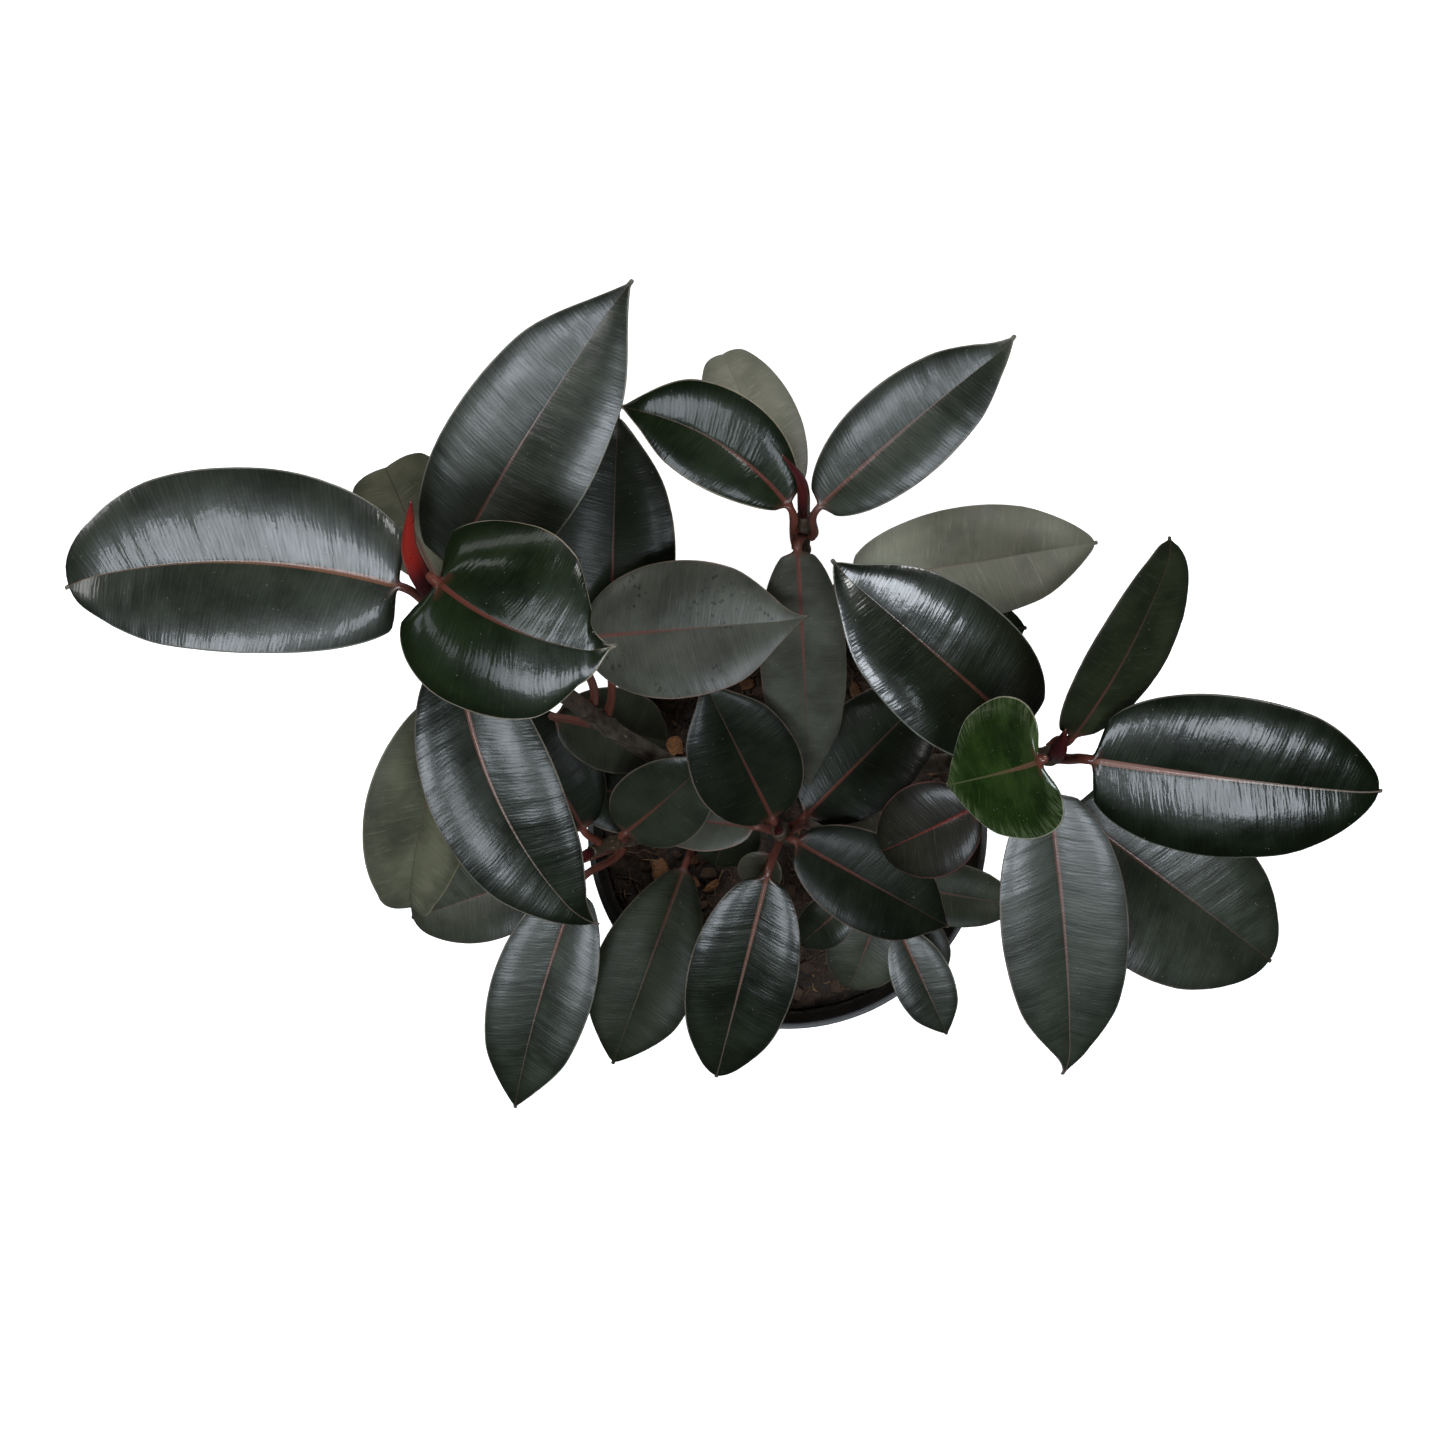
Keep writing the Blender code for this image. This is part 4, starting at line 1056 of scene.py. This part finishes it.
def blade_relief(leaf, seed, t, across, along):
    """The blade's middle surface with uneven margins, puckers and slanted ripples, and its normals."""
    s = np.array(ACROSS)
    calm = np.sin(math.pi * t)[:, None] ** 0.5
    wander = np.stack([t * 5.0 + seed, np.full_like(t, 0.5), np.zeros_like(t)], axis=1)
    on_left = noise_grid(wander)[:, None]
    on_right = noise_grid(wander + np.array([0.0, 7.3, 0.0]))[:, None]
    stretch = UNEVEN_EDGE * np.where(s[None, :] > 0, on_left, on_right) * calm * (s**2)[None, :]
    left = midrib(leaf, t)[2]
    middle = blade_surface(leaf, t, s) + (stretch * across)[..., None] * left[:, None, :]
    normals = blade_normals(leaf, t, s)

    off_rib = np.abs(across)
    slanted = along - VEIN_SLANT * off_rib
    shift = np.full_like(along, 3.7 * seed)
    puckers = noise_grid(np.stack([across * PUCKER_GRAIN, along * PUCKER_GRAIN, shift], axis=2))
    ripples = noise_grid(np.stack([across * RIPPLE_ACROSS, slanted * RIPPLE_ALONG, shift + 5.1], axis=2))
    relief = (PUCKER * puckers + RIPPLE * ripples) * np.clip(off_rib / RIB_CALM, 0, 1) * calm
    return middle + relief[..., None] * normals, normals


def stalk_sections(leaf, points, headings, side, columns):
    """Round sections of the petiole, from the cane to the blade, turned as little as can be."""
    sections = []
    for k in range(len(points) - 2, -1, -1):
        heading = headings[k]
        side = unit(side - heading * np.dot(side, heading))
        share = k / (len(points) - 1)
        flare = STALK_FLARE * math.exp(-k * FLARE_FADE)
        radius = leaf.petiole * (1 + (FOOT_SWELL - 1) * (1 - share)) + flare
        sections.append(round_section(points[k], side, np.cross(heading, side), radius, columns))
    return sections[::-1]


def leaf_piece(name, leaf, seed, material):
    """One closed leaf: petiole, blade with a grooved midrib and slanted ripples, and a rounded margin."""
    length = leaf_axes(leaf)[1]
    t = stations(length)
    s = np.array(ACROSS)
    columns = len(ACROSS)
    half = outline(leaf, t)[:, None] * (1 + leaf.lean * np.sign(s))[None, :]
    across = half * s[None, :]
    along = np.repeat((t * length)[:, None], columns, axis=1)
    edge = half * (1 - np.abs(s))[None, :]
    middle, normals = blade_relief(leaf, seed, t, across, along)

    off_rib = np.abs(across)
    fade = (1 - GROOVE_FADE * t)[:, None]
    groove = GROOVE_DEPTH * fade * bell(off_rib / GROOVE_WIDTH)
    shoulder = SHOULDER_LIFT * fade * bell((off_rib - SHOULDER_PLACE) / SHOULDER_WIDTH)
    narrow = np.clip(half.max(axis=1) / NARROW_BLADE, 0, 1)[:, None]
    rib = RIB_DEPTH * (1 - RIB_FADE * t)[:, None] * bell(off_rib / RIB_HALF_WIDTH)
    thick = BLADE_THICKNESS / 2 * (1 - MARGIN_THINNING * np.abs(s) ** 6)[None, :]
    upper = middle + normals * (thick + narrow * (shoulder - groove))[..., None]
    lower = middle - normals * (thick + rib)[..., None]
    left_edge = middle[:, 0] + MARGIN_ROUND * unit(middle[:, 0] - middle[:, 1])
    right_edge = middle[:, -1] + MARGIN_ROUND * unit(middle[:, -1] - middle[:, -2])

    centre, forward, left, above = midrib(leaf, t)
    sections = []
    for i, place in enumerate(t):
        blade = np.vstack([left_edge[i], upper[i], right_edge[i], lower[i][::-1]])
        share = min(place / COLLAR_END, 1.0)
        share = share * share * (3 - 2 * share)
        circle = round_section(centre[i], left[i], above[i], leaf.petiole, columns)
        sections.append((1 - share) * circle + share * blade)
    end = sections[-1].mean(axis=0)
    sections.append(end + END_SHARE * (sections[-1] - end) + END_REACH * forward[-1])

    points, headings = stalk_path(leaf, CANES[name.rsplit("_", 1)[0]], STALK_STATIONS)
    stalk = stalk_sections(leaf, points, headings, left[0], columns)
    sections = stalk + sections
    rows, around = len(sections), 2 * columns + 2

    upper_map = np.stack([across, along, edge], axis=2)
    blade_map = np.concatenate([upper_map[:, :1], upper_map, upper_map[:, -1:], upper_map[:, ::-1]], axis=1)
    face_row = np.concatenate([[0.5], np.ones(columns), [0.5], np.zeros(columns)])
    redness = np.clip(1 - along[:, :1] / STALK_COLOUR_END, 0, 1) ** 2
    blade_tone = spread(len(t), around, t[:, None], face_row, redness)
    run = -np.linalg.norm(points[-1] - points[:-1], axis=1)[:, None]
    stalk_map = spread(len(stalk), around, leaf.petiole * np.linspace(-3, 3, around), run, 0.01)
    stalk_tone = spread(len(stalk), around, 0.0, face_row, 1.0)
    attributes = {
        "leaf_map": np.concatenate([stalk_map, blade_map, blade_map[-1:]]).reshape(-1, 3),
        "leaf_tone": np.concatenate([stalk_tone, blade_tone, blade_tone[-1:]]).reshape(-1, 3),
        "leaf_seed": np.full(rows * around, 11.3 * seed),
    }
    faces = capped_faces(rows, around)
    nodes = (f"leaf_{name}",)
    return piece(f"{name}_leaf", np.vstack(sections), faces, material, nodes, attributes)


def swept(points, radii, sides, swell=None):
    """Sections of a tube along the points, with attributes for the way around, along and the share."""
    points = np.asarray(points, float)
    headings = unit(np.gradient(points, axis=0))
    side = unit(np.cross(headings[0], (0.0, 1.0, 0.2)))
    angles = -np.arange(sides) * 2 * math.pi / sides
    runs = np.concatenate([[0.0], np.cumsum(np.linalg.norm(np.diff(points, axis=0), axis=1))])
    rows, maps = [], []
    for i, (point, heading, radius) in enumerate(zip(points, headings, radii)):
        side = unit(side - heading * np.dot(side, heading))
        other = np.cross(heading, side)
        share = runs[i] / runs[-1]
        grown = radius * (np.ones(sides) if swell is None else swell(angles, share))
        ring = np.cos(angles)[:, None] * side - np.sin(angles)[:, None] * other
        rows.append(point + grown[:, None] * ring)
        maps.append(spread(1, sides, radius * np.cos(angles), runs[i], share)[0])
    return np.vstack(rows), np.vstack(maps)


CANE_ROWS = 190
CANE_SIDES = 30
RING_SPACING = 0.017
RING_HEIGHT = 0.00042
RING_WIDTH = 0.0007
NODE_SWELL = 0.00035
NODE_WIDTH = 0.0035
FIRST_RING = 0.012
RING_LIFT = 0.0035
BARK_LUMPS = 0.00022
BARK_GRAIN = (420.0, 420.0, 120.0)
SCAR_DROP = 0.0009
SCAR_WIDTH = 0.0006
BURIED_ROWS = 12
TOP_SHARE = 0.6


def cane_piece(name, cane, material, random):
    """A cane with a raised ring at each old and present leaf, and slightly uneven bark."""
    fine = smooth_path(cane.path, CANE_ROWS)
    root = np.array([fine[0, 0], fine[0, 1], SOIL_TOP - ROOT_DEPTH])
    buried = root + np.linspace(0, 1, BURIED_ROWS)[:-1, None] * (fine[0] - root)
    line = np.vstack([buried, fine])
    share = np.linspace(0, 1, len(fine))
    radii = cane.root_radius + share * (cane.top_radius - cane.root_radius)
    radii = np.concatenate([np.full(len(buried), cane.root_radius), radii])
    feet = [leaf.foot for key, leaf in LEAVES.items() if key.rsplit("_", 1)[0] == name]
    height = SOIL_TOP + FIRST_RING
    rings = []
    while height < min(feet) - RING_SPACING / 2:
        rings.append(height)
        height += RING_SPACING * random.uniform(0.75, 1.3)
    rings += [foot + RING_LIFT for foot in feet]
    scar = np.zeros(len(line))
    for ring_height in rings:
        off = line[:, 2] - ring_height
        radii = radii + NODE_SWELL * bell(off / NODE_WIDTH) + RING_HEIGHT * bell(off / RING_WIDTH)
        scar = np.maximum(scar, bell((off + SCAR_DROP) / SCAR_WIDTH))
    radii[-1] = TOP_SHARE * radii[-1]
    points, cane_map = swept(line, radii, CANE_SIDES)
    lumps = noise_grid(points * np.array(BARK_GRAIN))
    centres = np.repeat(line, CANE_SIDES, axis=0)
    points = points + BARK_LUMPS * lumps[:, None] * unit(points - centres + 1e-9)
    attributes = {"cane_map": cane_map, "cane_scar": np.repeat(scar, CANE_SIDES)}
    faces = capped_faces(len(line), CANE_SIDES)
    return piece(f"{name}_cane", points, faces, material, (f"cane_{name}",), attributes)


SHEATH_ROWS = 64
SHEATH_SIDES = 40
SHEATH_START = 0.12
SHEATH_SAMPLES = 200
SHEATH_TWIST = 2.6
SHEATH_LEAST = 0.93
SHEATH_STEP = 0.13


def sheath_piece(name, sheath, material):
    """A rolled sheath: its free edge winds round it in a low spiral step."""
    line, _ = cane_axis(CANES[name])
    along = unit(line[-1] - line[-2])
    foot = line[-1] + along * GAP
    start = foot + along * sheath.radius / 2
    path = smooth_path((foot, start, sheath.bend, sheath.tip), SHEATH_ROWS)
    share = np.linspace(0, 1, SHEATH_ROWS)
    knots = [(0.0, SHEATH_FOOT_SHARE, 0.0)]
    knots += [(SHEATH_START + (1 - SHEATH_START) * p, g, 0.0) for p, g in zip(SHEATH_PLACES, SHEATH_SWELL)]
    profile = smooth_path(knots, SHEATH_SAMPLES)
    radii = sheath.radius * np.interp(share, profile[:, 0], profile[:, 1])

    def rolled(angles, at):
        turn = np.mod(angles - SHEATH_TWIST * at, 2 * math.pi) / (2 * math.pi)
        return SHEATH_LEAST + SHEATH_STEP * turn

    points, sheath_map = swept(path, radii, SHEATH_SIDES, rolled)
    faces = capped_faces(SHEATH_ROWS, SHEATH_SIDES)
    attributes = {"cane_map": sheath_map}
    return piece(f"{name}_sheath", points, faces, material, (f"sheath_{name}",), attributes)


def lathe(profile, steps):
    """Points and faces of a solid of revolution whose profile ends where it began, or on the axis."""
    rows, points, faces = [], [], []
    angles = np.arange(steps) * 2 * math.pi / steps
    for radius, z in profile:
        if radius < 1e-9:
            rows.append([len(points)] * steps)
            points.append((0.0, 0.0, z))
        else:
            rows.append(list(range(len(points), len(points) + steps)))
            points += [(radius * math.cos(a), radius * math.sin(a), z) for a in angles]
    if profile[0] == profile[-1]:
        for k, index in enumerate(rows[0]):
            rows[-1][k] = index
        points = points[:-steps]
    for near, far in zip(rows, rows[1:]):
        for j in range(steps):
            k = (j + 1) % steps
            corners = [near[j], far[j], far[k], near[k]]
            face = [c for n, c in enumerate(corners) if c not in corners[:n]]
            if len(face) > 2:
                faces.append(tuple(face))
    return points, faces


def arc(centre, radius, start, end, count):
    """Points of an arc in the profile's plane, angles in degrees."""
    turns = np.radians(np.linspace(start, end, count))
    return [(centre[0] + radius * math.cos(a), centre[1] + radius * math.sin(a)) for a in turns]


POT_STEPS = 180
SHARP_ANGLE = 32
RIM_ARC = 5
RIM_GROOVE_DEPTH = 0.0005
RIM_GROOVE = (0.0042, 0.0036, 0.0024, 0.0018)
BEAD_HEIGHTS = (0.196, 0.044)
BEAD = 0.0004


def pot_profile():
    """The shell's profile: down its outer side from the rim, and back up inside."""
    rim_low = POT_HEIGHT - RIM_HEIGHT
    lip = POT_TOP_RADIUS - RIM_OVERHANG - RIM_ROUND / 2
    foot_inner = POT_BASE_RADIUS - FOOT_WIDTH
    floor_top = FLOOR_RAISE + POT_WALL
    pad_inner = PAD_RADIUS - POT_WALL
    top = POT_HEIGHT - RIM_ROUND
    profile = arc((lip + RIM_ROUND, top), RIM_ROUND, 180, 90, RIM_ARC)
    profile += arc((POT_TOP_RADIUS - RIM_ROUND, top), RIM_ROUND, 90, 0, RIM_ARC)
    depths = (0.0, RIM_GROOVE_DEPTH, RIM_GROOVE_DEPTH, 0.0)
    profile += [(POT_TOP_RADIUS - depth, rim_low + up) for depth, up in zip(depths, RIM_GROOVE)]
    profile += arc((POT_TOP_RADIUS - RIM_ROUND, rim_low + RIM_ROUND), RIM_ROUND, 0, -90, RIM_ARC)
    profile.append((wall_radius(rim_low), rim_low))
    for z in BEAD_HEIGHTS:
        for step, out in ((0.0016, 0.0), (0.0008, BEAD), (-0.0008, BEAD), (-0.0016, 0.0)):
            profile.append((wall_radius(z + step) + out, z + step))
    profile += arc((wall_radius(EDGE_BEVEL) - EDGE_BEVEL, EDGE_BEVEL), EDGE_BEVEL, 0, -90, RIM_ARC)
    profile += [
        (foot_inner, 0.0),
        (foot_inner - EDGE_BEVEL, FLOOR_RAISE),
        (PAD_RADIUS + EDGE_BEVEL, FLOOR_RAISE),
        (PAD_RADIUS, 0.0),
        (0.0, 0.0),
        (0.0, POT_WALL),
        (pad_inner, POT_WALL),
        (pad_inner + EDGE_BEVEL, floor_top),
        (foot_inner + EDGE_BEVEL, floor_top),
        (foot_inner + POT_WALL, POT_WALL),
        (wall_radius(POT_WALL) - POT_WALL, POT_WALL),
        (wall_radius(rim_low) - POT_WALL, rim_low),
        profile[0],
    ]
    return profile


def drain_cutters():
    """Round drain holes through the floor and square notches through the foot ring."""
    cutters = []
    for i in range(DRAIN_HOLES):
        turn = 2 * math.pi * i / DRAIN_HOLES
        x, y = DRAIN_CIRCLE * math.cos(turn), DRAIN_CIRCLE * math.sin(turn)
        low, high = DRAIN_SPAN
        profile = [(0.0, high), (DRAIN_RADIUS, high), (DRAIN_RADIUS, low), (0.0, low)]
        points, faces = lathe(profile, DRAIN_SIDES)
        cutters.append(solid("cutter", [(px + x, py + y, pz) for px, py, pz in points], faces))
        between = turn + math.pi / DRAIN_HOLES
        middle = POT_BASE_RADIUS - FOOT_WIDTH / 2
        out = (math.cos(between), math.sin(between))
        points = []
        for z in (-NOTCH_HEIGHT, NOTCH_HEIGHT):
            for u, v in ((-1, -1), (1, -1), (1, 1), (-1, 1)):
                reach, aside = middle + u * FOOT_WIDTH, v * NOTCH_WIDTH / 2
                points.append((reach * out[0] - aside * out[1], reach * out[1] + aside * out[0], z))
        faces = [(3, 2, 1, 0), (4, 5, 6, 7), (0, 1, 5, 4), (1, 2, 6, 5), (2, 3, 7, 6), (3, 0, 4, 7)]
        cutters.append(solid("cutter", points, faces))
    return cutters


def pot_piece(material):
    """The pot, turned from its profile, with the drain holes and notches cut out of it."""
    points, faces = lathe(pot_profile(), POT_STEPS)
    pot = piece("grow_pot", points, faces, material, ("pot",), smooth=False)
    cutters = drain_cutters()
    for hole in cutters:
        boolean = pot.modifiers.new("cut", "BOOLEAN")
        boolean.object = hole
        boolean.operation = "DIFFERENCE"
        boolean.solver = "EXACT"
    bpy.context.view_layer.update()
    graph = bpy.context.evaluated_depsgraph_get()
    cut_mesh = bpy.data.meshes.new_from_object(pot.evaluated_get(graph))
    pot.modifiers.clear()
    pot.data = cut_mesh
    for hole in cutters:
        bpy.data.objects.remove(hole, do_unlink=True)
    pot.data.shade_smooth()
    pot.data.set_sharp_from_angle(angle=math.radians(SHARP_ANGLE))
    return pot


SOIL_STEPS = 300
SOIL_RINGS = 92
CLUMP = 0.0022
CLUMP_GRAIN = 105.0
CRUMB = 0.0012
CRUMB_GRAIN = 330.0


def mix_height(x, y):
    """Height of the dressed soil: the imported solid's lumps with clumps and crumbs on them."""
    base = soil_height(x, y)
    clump = noise.voronoi(Vector((x, y, 0.0)) * CLUMP_GRAIN)[0][0]
    crumb = noise.turbulence(Vector((x, y, 0.5)) * CRUMB_GRAIN, 3, False)
    return base + CLUMP * (0.45 - clump) + CRUMB * (crumb - 0.35)


def soil_piece(material):
    """The plug of potting mix, with lumps, clumps and crumbs on its top."""
    floor_top = FLOOR_RAISE + POT_WALL + GAP
    top_radius = wall_radius(SOIL_TOP - SOIL_SHOULDER) - POT_WALL - GAP
    low_radius = wall_radius(floor_top) - POT_WALL - GAP
    profile = [(top_radius * i / SOIL_RINGS, SOIL_TOP) for i in range(SOIL_RINGS + 1)]
    profile += [(top_radius, SOIL_TOP - SOIL_SHOULDER), (low_radius, floor_top), (0.0, floor_top)]
    points, faces = lathe(profile, SOIL_STEPS)
    shoulder = SOIL_TOP - SOIL_SHOULDER / 2
    lifted = [(x, y, mix_height(x, y) if z > shoulder else z) for x, y, z in points]
    return piece("soil_bed", lifted, faces, material, ("soil",))


CHIP_COUNT = 520
FIBRE_COUNT = 620
CHIP_LEAST = 0.0012
CHIP_SPREAD = 0.0042
FIBRE_STEPS = 7
FIBRE_SIDES = 4
FIBRE_LENGTH = (0.004, 0.017)
FIBRE_WIDTH = (0.00018, 0.00048)
FIBRE_LIFT = (0.0002, 0.001)
FIBRE_BEND = 0.22
FIBRE_TURN_BACK = 1.2
CHIP_TILT = 0.28
BIT_REACH = 0.108

# Place, size and tone of the pale chips that stand out from above
KNOWN_CHIPS = (
    (-0.077, -0.0263, 0.007, 0.93),
    (-0.068, 0.0497, 0.006, 1.0),
    (-0.059, 0.048, 0.004, 0.97),
    (0.0422, 0.0832, 0.0055, 0.9),
    (0.048, 0.079, 0.0045, 0.86),
    (0.064, 0.073, 0.005, 0.84),
    (0.001, -0.052, 0.0045, 0.92),
)


def unit_ball():
    """An even ball of 42 points that the chips are pressed from."""
    mesh = bpy.data.meshes.new("ball")
    shape = bmesh.new()
    bmesh.ops.create_icosphere(shape, subdivisions=2, radius=1.0)
    shape.to_mesh(mesh)
    shape.free()
    points = np.array([vertex.co[:] for vertex in mesh.vertices])
    faces = [tuple(polygon.vertices) for polygon in mesh.polygons]
    bpy.data.meshes.remove(mesh)
    return points, faces


def random_place(random):
    """A place on the mix, evenly spread over it."""
    radius = BIT_REACH * math.sqrt(random.random())
    turn = random.uniform(0, 2 * math.pi)
    return radius * math.cos(turn), radius * math.sin(turn)


def chips_piece(material, random):
    """Flat angular bits of bark that lie half sunk in the mix."""
    ball, ball_faces = unit_ball()
    points, faces, tones = [], [], []
    for i in range(CHIP_COUNT):
        if i < len(KNOWN_CHIPS):
            x, y, size, tone = KNOWN_CHIPS[i]
        else:
            x, y = random_place(random)
            size = CHIP_LEAST + CHIP_SPREAD * random.random() ** 2.2
            tone = random.random()
        broad, flat = random.uniform(0.45, 0.85), random.uniform(0.22, 0.45)
        turn = random.uniform(0, 2 * math.pi)
        tilt, roll = random.normal(0, CHIP_TILT), random.normal(0, CHIP_TILT)
        rough = noise_grid(ball * 1.3 + 17.0 * i)
        shape = ball * (1 + 0.55 * rough)[:, None]
        shape = np.sign(shape) * np.abs(shape) ** 0.8 * np.array([1.0, broad, flat]) * size
        c, d = math.cos(turn), math.sin(turn)
        u, v, w = shape.T
        turned = np.stack([c * u - d * v, d * u + c * v, w], axis=1)
        turned[:, 2] += tilt * turned[:, 0] + roll * turned[:, 1]
        turned += np.array([x, y, mix_height(x, y) + 0.25 * size])
        base = len(points) * len(ball)
        faces += [tuple(base + v for v in face) for face in ball_faces]
        points.append(turned)
        tones.append(np.full(len(ball), tone))
    tones = {"bit_tone": np.concatenate(tones)}
    return piece("soil_chips", np.vstack(points), faces, material, (), tones, smooth=False)


def fibres_piece(material, random):
    """Thin curved fibres that lie on the mix."""
    points, faces, tones = [], [], []
    around = np.arange(FIBRE_SIDES) * 2 * math.pi / FIBRE_SIDES
    for _ in range(FIBRE_COUNT):
        x, y = random_place(random)
        turn = random.uniform(0, 2 * math.pi)
        bend = random.normal(0, FIBRE_BEND)
        step = random.uniform(*FIBRE_LENGTH) / FIBRE_STEPS
        thick = random.uniform(*FIBRE_WIDTH)
        tone = random.random()
        lift = random.uniform(*FIBRE_LIFT)
        base = len(points) * (FIBRE_STEPS + 1) * FIBRE_SIDES
        rows = []
        for k in range(FIBRE_STEPS + 1):
            if math.hypot(x, y) > BIT_REACH + 0.003:
                turn += FIBRE_TURN_BACK
            z = mix_height(x, y) + lift
            width = thick * (0.4 + 0.6 * math.sin(math.pi * (0.1 + 0.8 * k / FIBRE_STEPS)))
            aside = np.array([-math.sin(turn), math.cos(turn), 0.0])
            ring = np.cos(around)[:, None] * aside - np.sin(around)[:, None] * np.array([0, 0, 1.0])
            rows.append(np.array([x, y, z]) + width * ring)
            x += step * math.cos(turn)
            y += step * math.sin(turn)
            turn += bend
        points.append(np.vstack(rows))
        faces += [tuple(base + v for v in face) for face in capped_faces(FIBRE_STEPS + 1, FIBRE_SIDES)]
        tones.append(np.full((FIBRE_STEPS + 1) * FIBRE_SIDES, tone))
    tones = {"bit_tone": np.concatenate(tones)}
    return piece("soil_fibres", np.vstack(points), faces, material, (), tones)


CAMERA_PLACE = (-0.039, 0.064, 1.97)
LENS = 72.66
WALL_RADIUS = 7.5
WALL_HEIGHT = 9.0
WALL_SIDES = 96
FLOOR_REACH = 8.0
LIGHT_AIM = (0, 0, 0.4)

# Name, place, size, power and colour of each soft light
LIGHTS = (
    ("key_left", (-0.6, -0.85, 2.3), (0.85, 0.85), 31, (0.85, 0.92, 1.0)),
    ("key_right", (0.55, -0.95, 2.25), (0.6, 0.65), 17.5, (0.85, 0.92, 1.0)),
    ("left", (-2.0, 0.8, 1.6), (0.6, 0.9), 15, (1.0, 1.0, 0.99)),
    ("right", (1.15, 0.75, 2.2), (0.35, 0.4), 8.5, (1.0, 1.0, 0.99)),
    ("back", (0.5, 1.9, 1.5), (1.2, 0.5), 18, (1.0, 1.0, 0.98)),
)


def add_camera():
    """The camera, which looks straight down on the plant."""
    data = bpy.data.cameras.new("top_view")
    data.lens = LENS
    data.sensor_width = 36.0
    data.clip_end = 20.0
    camera = placed("top_view", data)
    camera.location = CAMERA_PLACE
    bpy.context.scene.camera = camera


def soft_light(name, place, size, power, colour):
    data = bpy.data.lights.new(name, "AREA")
    data.shape = "RECTANGLE"
    data.size, data.size_y = size
    data.energy = power
    data.color = colour
    light = placed(name, data)
    light.location = place
    way = Vector(LIGHT_AIM) - Vector(place)
    light.rotation_euler = way.to_track_quat("-Z", "Y").to_euler()
    light.visible_camera = False


def add_backdrop(material):
    """A pale wall round the floor, seen by the camera alone, so that side views have no dark sky."""
    points, faces = [], []
    for i in range(WALL_SIDES):
        turn = 2 * math.pi * i / WALL_SIDES
        x, y = WALL_RADIUS * math.cos(turn), WALL_RADIUS * math.sin(turn)
        points += [(x, y, -0.01), (x, y, WALL_HEIGHT)]
        k = 2 * ((i + 1) % WALL_SIDES)
        faces.append((2 * i, 2 * i + 1, k + 1, k))
    wall = solid("backdrop", points, faces, material)
    wall.visible_diffuse = False
    wall.visible_glossy = False
    wall.visible_shadow = False


def add_stage():
    """The pale floor, its wall, a faint sky and the lights."""
    corners = [(u * FLOOR_REACH, v * FLOOR_REACH, 0) for u, v in ((-1, -1), (1, -1), (1, 1), (-1, 1))]
    material = floor_look()
    floor = solid("floor", corners, [(0, 1, 2, 3)], material)
    floor.visible_glossy = False
    world = bpy.data.worlds.new("studio")
    world.use_nodes = True
    background = world.node_tree.nodes["Background"]
    background.inputs["Color"].default_value = (0.97, 0.98, 1.0, 1.0)
    background.inputs["Strength"].default_value = 0.03
    bpy.context.scene.world = world
    bpy.context.scene.view_settings.view_transform = "Standard"
    add_backdrop(material)
    for light in LIGHTS:
        soft_light(*light)


def main():
    add_camera()
    add_stage()
    random = np.random.default_rng(7)
    pot_piece(pot_look())
    soil_piece(soil_look())
    chips_piece(bits_look("bark_chips", *CHIP_TONES, 0.0006), random)
    fibres_piece(bits_look("coir_fibres", *FIBRE_TONES, 0.0002), random)
    bark = bark_look()
    for name, cane in CANES.items():
        cane_piece(name, cane, bark, random)
    looks = {key: leaf_look(f"leaf_{key}", skin) for key, skin in SKINS.items()}
    for i, (name, leaf) in enumerate(LEAVES.items()):
        leaf_piece(name, leaf, i + 1, looks[leaf.skin])
    bright = sheath_look("sheath_bright", *BRIGHT_SHEATH)
    dark = sheath_look("sheath_dark", *DARK_SHEATH)
    for name, sheath in SHEATHS.items():
        sheath_piece(name, sheath, bright if name == "left" else dark)


main()
